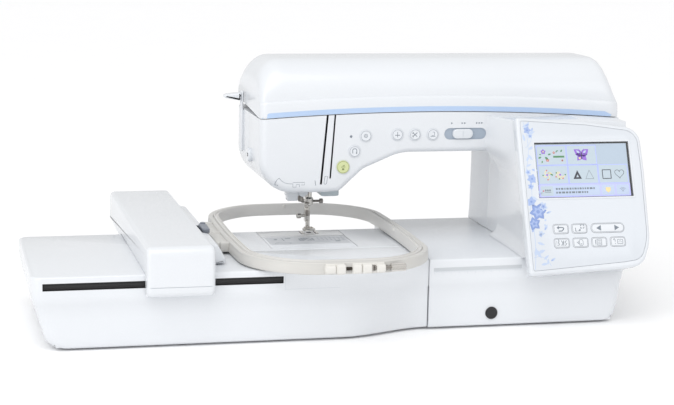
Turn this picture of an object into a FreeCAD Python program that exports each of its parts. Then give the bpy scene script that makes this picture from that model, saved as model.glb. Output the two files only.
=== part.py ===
import FreeCAD, Part
import Sketcher
import math
import os
import re

# Computerised sewing and embroidery machine with its embroidery unit and hoop fitted.
# Millimetres.  X runs to the right, Y to the back, Z up.  Every piece is drawn with the
# needle line at X = 0, Y = 0 and the table at Z = 0, and is then placed so that the
# origin is the centre of the whole machine's footprint on the table.

os.makedirs("parts", exist_ok=True)
doc = FreeCAD.newDocument("sewing_machine")
V = FreeCAD.Vector

SIZES = {
    # overall
    "machine_height": 300, "bed_height": 82, "body_right": 343, "body_front": -178,
    "body_back": 71, "wheel_right": 380, "unit_left": -349, "unit_front": -206,
    "carriage_back": 150, "hoop_front": -251, "foot_height": 3,
    # shells
    "wall": 3, "gap": 0.4, "floor_plate": 2.5, "seam": 102, "free_left": -100,
    "free_front": -98, "free_back": 14, "free_floor": 20,
    # head, arm and pillar
    "head_left": -77, "head_right": 15, "head_bottom": 145, "head_front": -80,
    "arm_start": 84, "arm_under": 191, "arm_split": -4, "pillar_left": 227,
    "case_right": 367, "case_foot_right": 349, "trim_left": 232, "trim_middle": 239.4,
    "trim_right": 231, "trim_width": 6, "head_round": 34, "cover_round": 38,
    "cover_crease": 257, "ridge_front": -42,
    # hinge of the top cover
    "hinge_height": 244.2, "hinge_depth": 65.5, "hinge_pin": 1.5, "hinge_boss": 4.4,
    # drive
    "shaft_radius": 6, "shaft_depth": 15, "shaft_height": 210, "wheel_radius": 36,
    "running_fit": 0.05, "motor_radius": 24, "motor_depth": 15, "motor_height": 44,
    "pulley_radius": 16, "motor_pulley_radius": 9, "belt_width": 8,
    "pulley_across": 310,
    # sewing group
    "needle_bar_radius": 3.2, "presser_depth": 11, "presser_radius": 3.5,
    "needle_tip": 90, "hook_radius": 22, "hook_depth": -27, "bobbin_radius": 10.2,
    # bed plates
    "plate_left": -63.5, "plate_right": 39, "plate_split": -20, "plate_front": -92,
    "plate_back": 10, "plate_thick": 2,
    # control panel
    "panel_left": 213.5, "panel_right": 366, "panel_foot": 66, "panel_foot_front": -206,
    "panel_tilt": 22.3, "panel_length": 187, "panel_right_drop": 13, "panel_thick": 14,
    "panel_round": 24, "panel_rim": 4.5, "fascia_thick": 1.6, "screen_left": 233,
    "screen_width": 117, "screen_low": 90.5, "screen_tall": 65, "key_wide": 18.5,
    "key_tall": 11, "key_pitch": 23, "key_row_low": 36.4, "key_row_high": 53,
    # front buttons
    "button_radius": 7, "start_radius": 8, "button_proud": 1.6,
    # embroidery unit
    "slot_left": -337, "slot_right": -74, "slot_low": 67, "slot_high": 75,
    "rail_radius": 4, "unit_rail_depth": -180, "unit_rail_height": 40,
    "carriage_left": -227, "carriage_wide": 75, "carriage_front": -222,
    "carriage_top": 114, "carriage_float": 0.6, "carriage_skirt": 58,
    "holder_wide": 19, "holder_front": -172, "holder_back": 69,
    # hoop
    "hoop_left": -120, "hoop_wide": 224, "hoop_long": 367, "hoop_band": 6.6,
    "hoop_inner_band": 6, "hoop_low": 83.6, "hoop_tall": 13.4, "hoop_corner": 74,
    "hoop_bow": 7, "hoop_knob_radius": 4.6, "hoop_thread_radius": 2,
    # services in the base
    "knee_across": 178, "knee_height": 17, "knee_bore": 3.5, "knee_tube": 5,
    "foot_radius": 9, "end_corner": 10, "end_lip": 18, "end_lean": 7, "end_foot": 12,
    "port_set_back": 12.5, "port_thick": 2.5, "switch_front": 6, "switch_back": 20,
    "switch_low": 28, "switch_high": 50,
    # hook and bobbin
    "hook_low": 52, "hook_tall": 18, "hook_floor": 2.5, "hook_stem": 4, "bobbin_low": 57.5,
    "bobbin_tall": 11, "bobbin_core": 6.5, "bobbin_bore": 3, "feed_left": -10.5,
    "feed_right": 7.3, "feed_wide": 3.2, "feed_front": -8.5, "feed_back": 6.5,
    # frame
    "beam_front": 44, "beam_back": 56, "beam_low": 196, "beam_high": 225, "column_left": 255,
    "column_right": 318, "guide_low": 168, "guide_tall": 10, "hook_beam_low": 24,
    "hook_beam_high": 32, "cross_left": 112, "cross_right": 130,
    # thread take-up, spool and winder
    "take_up_depth": -15, "take_up_height": 205, "take_up_pin": 2, "take_up_left": 5,
    "take_up_reach": -68, "spool_left": 140, "spool_depth": 10, "spool_height": 262,
    "spool_radius": 3, "winder_across": 296, "winder_depth": 5, "winder_height": 245,
    # levers at the side and back, and the carry handle
    "threader_front": 26, "threader_back": 40, "threader_low": 180, "threader_high": 253,
    "lever_across": 12, "lever_height": 200, "handle_left": 60, "handle_right": 220,
    "handle_out": 6, "handle_height": 226, "handle_pin": 2, "handle_low": 193,
    # unit rails
    "x_rail_left": -318, "x_rail_right": 8, "slider_left": -205, "slider_right": -175,
    "y_rail_in": 60, "y_rail_height": 97, "holder_low": 88, "holder_high": 90,
    "holder_near": -130, "holder_far": -100, "lever_side": -142, "lever_pivot_depth": -66,
}

sheet = doc.addObject("Spreadsheet::Sheet", "Sizes")
for row, (alias, number) in enumerate(SIZES.items(), start=1):
    sheet.set("A%d" % row, str(number))
    sheet.setAlias("A%d" % row, alias)
doc.recompute()
S = {alias: float(sheet.get(alias)) for alias in SIZES}

CENTRE_X = "(unit_left + wheel_right) / 2"
CENTRE_Y = "(hoop_front + carriage_back) / 2"
SHIFT = V(-(S["unit_left"] + S["wheel_right"]) / 2, -(S["hoop_front"] + S["carriage_back"]) / 2, 0)
corner_of = {}
nodes = []


# ---------------------------------------------------------------- helpers

def expression(text):
    """An expression on the sheet, from text that names its cells."""
    def cell(match):
        return "Sizes." + match.group() if match.group() in SIZES else match.group()
    return re.sub(r"[a-z_]+", cell, str(text))


def bind(thing, prop, text):
    thing.setExpression(prop, expression(text))


def place(thing, x, y, z):
    corner_of[thing.Name] = (x, y, z)
    bind(thing, ".Placement.Base.x", x)
    bind(thing, ".Placement.Base.y", y)
    bind(thing, ".Placement.Base.z", z)


def box(name, x0, x1, y0, y1, z0, z1):
    """A block between two corners."""
    thing = doc.addObject("Part::Box", name)
    bind(thing, "Length", "(%s) - (%s)" % (x1, x0))
    bind(thing, "Width", "(%s) - (%s)" % (y1, y0))
    bind(thing, "Height", "(%s) - (%s)" % (z1, z0))
    place(thing, x0, y0, z0)
    return thing


TURNS = {"X": FreeCAD.Rotation(V(0, 1, 0), 90), "Y": FreeCAD.Rotation(V(1, 0, 0), -90),
         "Z": FreeCAD.Rotation()}


def rod(name, axis, x, y, z, length, radius):
    """A cylinder along an axis from its low end."""
    thing = doc.addObject("Part::Cylinder", name)
    bind(thing, "Radius", radius)
    bind(thing, "Height", length)
    thing.Placement = FreeCAD.Placement(V(), TURNS[axis])
    place(thing, x, y, z)
    return thing


def cut(name, base, *tools):
    for count, tool in enumerate(tools):
        thing = doc.addObject("Part::Cut", "%s_cut%d" % (name, count))
        thing.Base, thing.Tool = base, tool
        base = thing
    return base


def fuse(name, *pieces):
    thing = doc.addObject("Part::MultiFuse", name + "_sum")
    thing.Shapes = list(pieces)
    return thing


def node(label, thing):
    """Labels a finished piece and moves it to the machine's own frame."""
    thing.Label = label
    x, y, z = corner_of.get(thing.Name, (0, 0, 0))
    bind(thing, ".Placement.Base.x", "%s - %s" % (x, CENTRE_X))
    bind(thing, ".Placement.Base.y", "%s - %s" % (y, CENTRE_Y))
    bind(thing, ".Placement.Base.z", z)
    nodes.append(thing)
    return thing


def prism(name, plane, points, low, high):
    """A padded sketch: points are pairs of expressions in the XY, XZ or YZ plane."""
    body = doc.addObject("PartDesign::Body", name)
    sketch = body.newObject("Sketcher::SketchObject", name + "_outline")
    home = [f for f in body.Origin.OriginFeatures if f.Role == plane + "_Plane"][0]
    sketch.AttachmentSupport = [(home, "")]
    sketch.MapMode = "FlatFace"
    start = "-(%s)" % high if plane == "XZ" else low
    bind(sketch, ".AttachmentOffset.Base.z", start)
    spots = [V(value(a), value(b), 0) for a, b in points]
    count = len(spots)
    for i in range(count):
        sketch.addGeometry(Part.LineSegment(spots[i], spots[(i + 1) % count]), False)
    for i in range(count):
        sketch.addConstraint(Sketcher.Constraint("Coincident", i, 2, (i + 1) % count, 1))
    for i, (a, b) in enumerate(points):
        for kind, text, number in (("DistanceX", a, spots[i].x), ("DistanceY", b, spots[i].y)):
            at = sketch.addConstraint(Sketcher.Constraint(kind, -1, 1, i, 1, number))
            bind(sketch, "Constraints[%d]" % at, text)
    pad = body.newObject("PartDesign::Pad", name + "_pad")
    pad.Profile = sketch
    bind(pad, "Length", "(%s) - (%s)" % (high, low))
    sketch.Visibility = False
    body.Tip = pad
    return body


scratch = doc.addObject("Part::Box", "reader")


def value(text):
    """The number that an expression on the sheet comes to."""
    bind(scratch, ".Placement.Base.x", text)
    doc.recompute([scratch])
    return scratch.Placement.Base.x


def face_xz(points, y):
    return Part.Face(Part.makePolygon([V(x, y, z) for x, z in points + points[:1]]))


def face_yz(points, x):
    return Part.Face(Part.makePolygon([V(x, y, z) for y, z in points + points[:1]]))


def face_xy(points, z):
    return Part.Face(Part.makePolygon([V(x, y, z) for x, y in points + points[:1]]))


def soften(shape, spots, axis):
    """Rounds edges along an axis: spots are (first, second, radius) across that axis."""
    others = [i for i in range(3) if i != "XYZ".index(axis)]
    for first, second, radius in spots:
        edges = []
        for edge in shape.Edges:
            ends = [v.Point for v in edge.Vertexes]
            if len(ends) == 2 and all(abs(p[others[0]] - first) < 0.05 and
                                      abs(p[others[1]] - second) < 0.05 for p in ends):
                edges.append(edge)
        shape = shape.makeFillet(radius, edges)
    return shape


def feature(label, shape, placement=None):
    """A piece whose curved shape is worked out in code from the sheet's sizes."""
    thing = doc.addObject("Part::Feature", label)
    thing.Shape = shape
    thing.Label = label
    thing.Placement = FreeCAD.Placement(SHIFT, FreeCAD.Rotation()).multiply(
        placement or FreeCAD.Placement())
    nodes.append(thing)
    return thing


def block(x0, x1, y0, y1, z0, z1):
    return Part.makeBox(x1 - x0, y1 - y0, z1 - z0, V(x0, y0, z0))


def bar(axis, x, y, z, length, radius):
    way = {"X": V(1, 0, 0), "Y": V(0, 1, 0), "Z": V(0, 0, 1)}[axis]
    return Part.makeCylinder(radius, length, V(x, y, z), way)


W, G, BED = S["wall"], S["gap"], S["bed_height"]
FLOOR = S["foot_height"]
HEAD_FRONT, BACK = S["head_front"], S["body_back"]

# ---------------------------------------------------------------- base and free arm

end_profile = [(S["seam"], FLOOR), (S["seam"], BED), (S["body_right"], BED),
               (S["body_right"], BED - S["end_lip"]),
               (S["body_right"] - S["end_lean"], FLOOR + 8),
               (S["body_right"] - S["end_foot"], FLOOR)]
base = face_xz(end_profile, S["body_front"]).extrude(V(0, BACK - S["body_front"], 0))
base = soften(base, [(S["body_right"], S["body_front"], S["end_corner"]),
                     (S["body_right"], BACK, S["end_corner"])], "Z")
base = base.fuse(block(S["free_left"], S["seam"], S["free_front"], S["free_back"],
                       S["free_floor"], BED)).removeSplitter()
inside = [(S["seam"] + W, FLOOR - 1), (S["seam"] + W, BED - W), (S["body_right"] - W, BED - W),
          (S["body_right"] - W, BED - S["end_lip"]),
          (S["body_right"] - S["end_lean"] - W, FLOOR + 8),
          (S["body_right"] - S["end_foot"] - W, FLOOR - 1)]
base = base.cut(face_xz(inside, S["body_front"] + W).extrude(
    V(0, BACK - S["body_front"] - 2 * W, 0)))
base = base.cut(block(S["free_left"] + W, S["seam"] + W, S["free_front"] + W,
                      S["free_back"] - W, S["free_floor"] + W, BED - W))
LEDGE = 3
base = base.cut(block(S["plate_left"] - G, S["plate_right"] + G, S["plate_front"] - G,
                      S["plate_back"] + G, BED - S["plate_thick"], BED + 1))
base = base.cut(block(S["plate_left"] + LEDGE, S["plate_right"] - LEDGE,
                      S["plate_front"] + LEDGE, S["plate_back"] - LEDGE,
                      BED - W - 1, BED))
THROAT = (240, 338, -60, 60)          # opening that the column and the belt pass through
base = base.cut(block(*THROAT, BED - W - 1, BED + 1))
base = base.cut(bar("Y", S["knee_across"], S["body_front"] - 1, S["knee_height"], W + 2,
                    S["knee_tube"]))
PORTS = (-34, 46, 22, 58)             # window in the right end for the switch and sockets
base = base.cut(block(S["body_right"] - 20, S["body_right"] + 1, *PORTS))
feature("base_shell", base)

FEET = [("seam + 24", "body_front + 20"), ("body_right - 32", "body_front + 20"),
        ("seam + 24", "body_back - 18"), ("body_right - 32", "body_back - 18"),
        ("unit_left + 45", "unit_front + 20"), ("seam - 60", "free_front - 30"),
        ("unit_left + 45", "free_back - 8"), ("free_left - 26", "free_back - 8")]
feet = [rod("foot%d" % i, "Z", x, y, 0, "foot_height", "foot_radius")
        for i, (x, y) in enumerate(FEET)]
node("rubber_feet", fuse("rubber_feet", *feet))

knee_tube = fuse("knee_tube", rod("knee_barrel", "Y", "knee_across", "body_front", "knee_height",
                                  18, "knee_tube"),
                 rod("knee_flange", "Y", "knee_across", "body_front - 1", "knee_height",
                     1, "knee_tube + 1"))
node("knee_lift_socket", cut("knee_lift_socket", knee_tube,
                             rod("knee_hole", "Y", "knee_across", "body_front - 1",
                                 "knee_height", 16, "knee_bore")))

port_plate = cut("port_plate",
                 box("port_blank", "body_right - port_set_back - port_thick",
                     "body_right - port_set_back", PORTS[0] - 5, PORTS[1] + 5, PORTS[2] - 5,
                     PORTS[3] + 3),
                 box("switch_window", "body_right - 16", "body_right - 12", "switch_front",
                     "switch_back", "switch_low", "switch_high"))
sockets = cut("sockets",
              fuse("socket_blocks",
                   port_plate, box("inlet_body", "body_right - 30", "body_right - 11.5",
                                   -26, -2, 30, 48),
                   box("data_body", "body_right - 30", "body_right - 12.5", 27, 43, 34, 46)),
              box("inlet_pocket", "body_right - 26", "body_right - 11", -23, -5, 33, 45),
              box("data_pocket", "body_right - 26", "body_right - 12", 28.5, 41.5, 36.8, 43.2))
node("port_panel", sockets)
node("power_switch", prism("power_switch", "XZ", [
    ("body_right - 18", "switch_low + 1"), ("body_right - 12", "switch_low + 1"),
    ("body_right - 9.4", "switch_high - 1"), ("body_right - 18", "switch_high - 1")],
    "switch_front + 0.6", "switch_back - 0.6"))

# ---------------------------------------------------------------- bed plates and hook

node("bobbin_cover", box("bobbin_cover", "plate_left", "plate_right", "plate_front",
                         "plate_split", "bed_height - plate_thick", "bed_height"))
plate_blank = box("plate_blank", "plate_left", "plate_right", "plate_split + gap", "plate_back",
                  "bed_height - plate_thick", "bed_height")
feed_slots = [box("feed_slot%d" % i, x, x + 4.2, -9, 8, "bed_height - plate_thick - 1",
                  "bed_height + 1") for i, x in enumerate((-11, 6.8))]
node("needle_plate", cut("needle_plate", plate_blank, *feed_slots,
                         rod("needle_hole", "Z", 0, 0, "bed_height - plate_thick - 1",
                             "plate_thick + 2", 3.2)))
teeth = [box("feed_tooth%d" % i, x, x + " + feed_wide", "feed_front", "feed_back",
             "bed_height - plate_thick - 5", "bed_height + 0.8")
         for i, x in enumerate(("feed_left", "feed_right"))]
node("feed_dog", fuse("feed_dog", *teeth, box("feed_bridge", "feed_left",
                                              "feed_right + feed_wide", "feed_back - 3",
                                              "feed_back", "bed_height - plate_thick - 5",
                                              "bed_height - plate_thick - 3.5")))
hook_cup = cut("hook_cup", rod("hook_drum", "Z", 0, "hook_depth", "hook_low", "hook_tall",
                               "hook_radius"),
               rod("hook_bore", "Z", 0, "hook_depth", "hook_low + hook_floor", "hook_tall",
                   "bobbin_radius + 2"))
node("rotary_hook", fuse("rotary_hook", hook_cup,
                         rod("hook_stem", "Z", 0, "hook_depth", "hook_low / 2",
                             "hook_low / 2", "hook_stem")))
bobbin_rims = [rod("bobbin_rim%d" % i, "Z", 0, "hook_depth", z, 1, "bobbin_radius")
               for i, z in enumerate(("bobbin_low", "bobbin_low + bobbin_tall - 1"))]
bobbin_solid = fuse("bobbin_solid", *bobbin_rims,
                    rod("bobbin_barrel", "Z", 0, "hook_depth", "bobbin_low + 0.5",
                        "bobbin_tall - 1", "bobbin_core"))
node("bobbin", cut("bobbin", bobbin_solid,
                   rod("bobbin_hole", "Z", 0, "hook_depth", "bobbin_low - 1",
                       "bobbin_tall + 2", "bobbin_bore")))

# ---------------------------------------------------------------- head, arm and pillar

TRIM = [(S["head_left"] - 10, S["trim_left"]), (89, S["trim_middle"]), (165, S["trim_middle"]),
        (S["case_right"] + 10, S["trim_right"])]


def trim_at(x):
    """Height of the line where the casing meets the top cover."""
    for (x0, z0), (x1, z1) in zip(TRIM, TRIM[1:]):
        if x <= x1:
            return z0 + (z1 - z0) * (x - x0) / (x1 - x0)
    return TRIM[-1][1]


outline = [(S["pillar_left"], BED + G), (S["pillar_left"] + 1, S["arm_under"]),
           (S["arm_start"], S["arm_under"]), (S["head_right"] + 41, S["arm_under"] - 10),
           (S["head_right"], S["head_bottom"]), (S["head_left"], S["head_bottom"]),
           (S["head_left"], trim_at(S["head_left"])), (89, S["trim_middle"]),
           (165, S["trim_middle"]), (S["case_right"], trim_at(S["case_right"])),
           (S["case_foot_right"], BED + G)]


def casing_block(y0, y1):
    solid = face_xz(outline, y0).extrude(V(0, y1 - y0, 0))
    return soften(solid, [(S["pillar_left"] + 1, S["arm_under"], 16),
                          (S["head_left"], S["head_bottom"], S["head_round"]),
                          (S["head_right"], S["head_bottom"], 8),
                          (S["arm_start"], S["arm_under"], 30)], "Y")


def inner_block(y0, y1):
    face = [f for f in casing_block(0, 1).Faces if abs(f.CenterOfMass.y) < 0.01][0]
    hole = face.makeOffset2D(-W)
    hole.translate(V(0, y0, 0))
    return hole.extrude(V(0, y1 - y0, 0))


head_hole = block(-42, 12, -36, 26, S["head_bottom"] - 1, S["head_bottom"] + W + 1)
column_hole = block(*THROAT, BED, BED + W + 2)
front = casing_block(HEAD_FRONT, S["arm_split"]).cut(inner_block(HEAD_FRONT + W, S["arm_split"] + 1))
front = front.cut(head_hole).cut(column_hole)
for high, low, bottom in (((3.2, 237), (-4.6, 154), 154), ((12, 237), (6.8, 161), 161)):
    slot = [(low[0] - 1.2, bottom), (low[0] + 1.2, bottom), (high[0] + 1.6, 240.5),
            (high[0] - 1.6, 240.5)]
    front = front.cut(face_xz(slot, HEAD_FRONT - 1).extrude(V(0, W + 1.5, 0)))

BUTTONS = [("start_stop_button", 21.8, 175.4, S["start_radius"]),
           ("reverse_button", 35.4, 193.8, S["button_radius"]),
           ("reinforcement_button", 48.6, 211.9, S["button_radius"]),
           ("needle_position_button", 87.1, 212.8, S["button_radius"]),
           ("thread_cutter_button", 108.6, 212.6, S["button_radius"]),
           ("presser_foot_button", 130.6, 212.5, S["button_radius"])]
for label, x, z, radius in BUTTONS:
    front = front.cut(bar("Y", x, HEAD_FRONT - 1, z, W + 2, radius + G))
TRACK = (145, 197, 206, 219.5)
front = front.cut(block(TRACK[0], TRACK[1], HEAD_FRONT - 1, HEAD_FRONT + 1.2, *TRACK[2:]))

rear = casing_block(S["arm_split"], BACK).cut(inner_block(S["arm_split"] - 1, BACK - W))
rear = rear.cut(head_hole).cut(column_hole)
for i in range(9):
    rear = rear.cut(block(255 + 9 * i, 259 + 9 * i, BACK - W - 1, BACK + 1, 110, 165))
rear = rear.cut(bar("X", S["case_right"] - 20, S["shaft_depth"], S["shaft_height"], 30,
                    S["shaft_radius"] + 2))
RAIL_SPANS = [(-58, -2), (22, 288), (312, 346)]
LUG_SPANS = [(-1.6, 21.6), (288.4, 311.6)]
PIN_Y, PIN_Z = S["hinge_depth"], S["hinge_height"]
for x0, x1 in RAIL_SPANS:
    rear = rear.fuse(bar("X", x0, PIN_Y, PIN_Z, x1 - x0, S["hinge_boss"]))
    rear = rear.fuse(block(x0, x1, PIN_Y - 3.5, PIN_Y + 3.5, S["trim_right"] - 1, PIN_Z))
for x0, x1 in LUG_SPANS:
    rear = rear.fuse(bar("X", x0 - 1, PIN_Y, PIN_Z, x1 - x0 + 2, S["hinge_pin"]))
# Two ears on each side hold the pins of the folding carry handle.
EAR = 4.1
GRIP_Y, GRIP_Z = S["body_back"] + S["handle_out"], S["handle_height"]
for x0 in (S["handle_left"] - G - EAR, S["handle_right"] + G):
    ear = block(x0, x0 + EAR, S["body_back"] - 0.5, GRIP_Y + 4, GRIP_Z - 5, GRIP_Z + 5)
    rear = rear.fuse(ear.cut(bar("X", x0 - 1, GRIP_Y, GRIP_Z, EAR + 2,
                                 S["handle_pin"] + S["running_fit"])))
# A rail up the left face carries the threader lever past the edge of the cover.
RAIL_THICK = 3
rail = block(S["head_left"] - RAIL_THICK, S["head_left"] - G, S["threader_front"] + 2,
             S["threader_back"] - 2, S["threader_low"], S["threader_high"])
rail = rail.fuse(block(S["head_left"] - RAIL_THICK, S["head_left"] + 0.5,
                       S["threader_front"] + 2, S["threader_back"] - 2, S["threader_low"],
                       trim_at(S["head_left"]) - G))
rear = rear.fuse(rail)
feature("rear_casing", rear.removeSplitter())

node("speed_slider", box("speed_slider", 155, 180, "head_front - 3", "head_front + 0.8",
                         TRACK[2] + 1, TRACK[3] - 1))
for label, x, z, radius in BUTTONS:
    size = "start_radius" if label == "start_stop_button" else "button_radius"
    node(label, rod(label, "Y", x, "head_front - button_proud", z, "button_proud + wall + 1",
                    size))

# The cowl swells from the front casing and carries the control panel before the pillar.
TILT = math.radians(S["panel_tilt"])
UP = V(0, math.sin(TILT), math.cos(TILT))
OUT = V(0, -math.cos(TILT), math.sin(TILT))
FOOT = V(0, S["panel_foot_front"], S["panel_foot"])


def on_panel(along, out):
    """World Y and Z of a point on the panel, measured up its face and out of it."""
    spot = FOOT + UP * along + OUT * out
    return spot.y, spot.z


low_back = on_panel(24, -S["panel_thick"] - G)
high_back = on_panel(S["panel_length"] - 12, -S["panel_thick"] - G)
side = [(HEAD_FRONT, BED + G), (low_back[0] + 2, BED + G), high_back,
        (HEAD_FRONT, trim_at(280) - 4)]
flare = [(237, BED + G), (225, 133), (212, 170), (203, 208), (201, 236), (352, 236),
         (S["case_foot_right"], BED + G)]
side_in = [(HEAD_FRONT + 1, BED + G + W), (low_back[0] + 2 + 1.5 * W, BED + G + W),
           (high_back[0] + 1.2 * W, high_back[1] - W), (HEAD_FRONT + 1, trim_at(280) - 4 - W)]
flare_in = [(x + W, z) for x, z in flare[:5]] + [(352 - W, 236), (S["case_foot_right"] - W, BED)]
cowl = face_yz(side, 180).extrude(V(190, 0, 0)).common(
    face_xz(flare, -260).extrude(V(0, 200, 0)))
cowl = cowl.cut(face_yz(side_in, 180).extrude(V(190, 0, 0)).common(
    face_xz(flare_in, -260).extrude(V(0, 200, 0))))
feature("front_casing", front.fuse(cowl).removeSplitter())

# ---------------------------------------------------------------- control panel

PANEL = FreeCAD.Placement(FOOT, FreeCAD.Rotation(V(1, 0, 0), 90 - S["panel_tilt"]))


def panel_sheet(inset, low, high):
    """The panel's outline drawn in by inset, between two depths."""
    left, right = S["panel_left"] + inset, S["panel_right"] - inset
    top, drop = S["panel_length"] - inset, S["panel_right_drop"]
    points = [(left, inset), (right - 8, inset + 7), (right, top - drop), (left, top)]
    solid = face_xy(points, low).extrude(V(0, 0, high - low))
    corner = max(S["panel_round"] - inset, 2)
    return soften(solid, [(points[0][0], points[0][1], 3), (points[1][0], points[1][1], corner),
                          (points[2][0], points[2][1], corner),
                          (points[3][0], points[3][1], 3)], "Z")


RIM, THIN = S["panel_rim"], S["fascia_thick"]
housing = panel_sheet(0, -S["panel_thick"], 0)
housing = housing.cut(panel_sheet(RIM, -S["panel_thick"] + 2.5, 1))
feature("panel_housing", housing, PANEL)

SCREEN = (S["screen_left"], S["screen_left"] + S["screen_width"], S["screen_low"],
          S["screen_low"] + S["screen_tall"])
fascia = panel_sheet(RIM + 0.1, -THIN, 0)
fascia = fascia.cut(block(*SCREEN, -THIN - 1, 1))


def key_block(x, y, wide, tall, low, high, corner):
    solid = block(x - wide / 2, x + wide / 2, y - tall / 2, y + tall / 2, low, high)
    edges = [(x + a * wide / 2, y + b * tall / 2, corner) for a in (-1, 1) for b in (-1, 1)]
    return soften(solid, edges, "Z")


KEYS = [("key_back", 255.6, S["key_row_high"], S["key_wide"]),
        ("key_layout", 278.4, S["key_row_high"], S["key_wide"]),
        ("key_arrows", 313.2, S["key_row_high"], 41)]
KEYS += [(label, 255.2 + S["key_pitch"] * i, S["key_row_low"], S["key_wide"])
         for i, label in enumerate(("key_stitches", "key_hoop", "key_pages", "key_help"))]
for label, x, y, wide in KEYS:
    fascia = fascia.cut(key_block(x, y, wide + 0.7, S["key_tall"] + 0.7, -THIN - 1, 1, 3))
bezel = block(SCREEN[0] - 2.4, SCREEN[1] + 2.4, SCREEN[2] - 2.4, SCREEN[3] + 2.4, -0.2, 0.8)
feature("panel_fascia", fascia.fuse(bezel.cut(block(*SCREEN, -1, 2))).removeSplitter(), PANEL)
for label, x, y, wide in KEYS:
    feature(label, key_block(x, y, wide, S["key_tall"], -THIN - 1.5, 0.5, 2.8), PANEL)
feature("lcd_screen", block(SCREEN[0], SCREEN[1], SCREEN[2], SCREEN[3], -4, -0.9), PANEL)

# ---------------------------------------------------------------- top cover

LEFT, RIGHT, TOP = S["head_left"], S["case_right"] + 4, S["machine_height"]


# The right end leans in at one slope whatever the height, so it clears the handwheel.
END_LEAN = 0.3623 * (TOP - S["trim_right"])


def cover_block(inset, bottom):
    ends = [(LEFT + inset, bottom), (LEFT + inset, TOP - inset),
            (RIGHT - END_LEAN, TOP - inset), (RIGHT - inset, bottom)]
    section = [(HEAD_FRONT + inset, bottom), (HEAD_FRONT + 2 + inset, S["cover_crease"]),
               (S["ridge_front"], TOP - inset), (38, TOP - 3 - inset),
               (BACK - inset, TOP - 40), (BACK - inset, bottom)]
    long_way = face_xz(ends, HEAD_FRONT - 1).extrude(V(0, BACK - HEAD_FRONT + 2, 0))
    long_way = soften(long_way, [(LEFT + inset, TOP - inset, S["cover_round"] - inset),
                                 (RIGHT - END_LEAN, TOP - inset, 20 - inset)], "Y")
    across = face_yz(section, LEFT - 1).extrude(V(RIGHT - LEFT + 2, 0, 0))
    across = soften(across, [(HEAD_FRONT + 2 + inset, S["cover_crease"], 20),
                             (S["ridge_front"], TOP - inset, 22),
                             (38, TOP - 3 - inset, 30), (BACK - inset, TOP - 40, 12)], "X")
    return long_way.common(across)


below = [(LEFT - 20, 150)] + [(x, z + G) for x, z in
                              [(LEFT - 20, trim_at(LEFT - 20)), (89, S["trim_middle"]),
                               (165, S["trim_middle"]), (RIGHT + 20, S["trim_right"] - 0.5)]]
below += [(RIGHT + 20, 150)]
cover = cover_block(0, S["trim_right"] - 8).cut(cover_block(W, S["trim_right"] - 12))
cover = cover.cut(face_xz(below, HEAD_FRONT - 10).extrude(V(0, BACK - HEAD_FRONT + 20, 0)))
cover = cover.cut(block(LEFT - 5, RIGHT + 5, PIN_Y - 7, BACK + 5, 200, PIN_Z + 4.6))
for x0, x1 in LUG_SPANS:
    lug = bar("X", x0, PIN_Y, PIN_Z, x1 - x0, S["hinge_boss"])
    lug = lug.fuse(block(x0, x1, PIN_Y - 2.2, BACK - W + 0.5, PIN_Z, PIN_Z + 14))
    cover = cover.fuse(lug.cut(bar("X", x0 - 1, PIN_Y, PIN_Z, x1 - x0 + 2,
                                   S["hinge_pin"] + S["running_fit"])))
stripe_line = [(LEFT + 4, trim_at(LEFT + 4)), (89, S["trim_middle"]), (165, S["trim_middle"]),
               (S["case_right"] - 9, trim_at(S["case_right"] - 9))]
stripe = [(x, z + G + 0.2) for x, z in stripe_line]
stripe += [(x, z + G + S["trim_width"]) for x, z in reversed(stripe_line)]
band = face_xz(stripe, HEAD_FRONT - 0.9).extrude(V(0, 2.4, 0))
feature("top_cover", cover.cut(band).removeSplitter())
feature("accent_stripe", band)

DECK = "trim_middle"
node("spool_pin", fuse("spool_pin",
                       box("spool_post", "spool_left", "spool_left + 6", "spool_depth - 8",
                           "spool_depth + 8", DECK, "spool_height + 6"),
                       rod("spool_rod", "X", "spool_left + 6", "spool_depth", "spool_height", 66,
                           "spool_radius"),
                       rod("spool_cap", "X", "spool_left + 65", "spool_depth", "spool_height", 5,
                           14)))
node("bobbin_winder", fuse("bobbin_winder",
                           rod("winder_wheel", "Z", "winder_across", "winder_depth",
                               "winder_height", 3, 13),
                           rod("winder_spindle", "Z", "winder_across", "winder_depth",
                               "winder_height - 4.5", 27, "spool_radius")))

# ---------------------------------------------------------------- frame and drive

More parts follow.
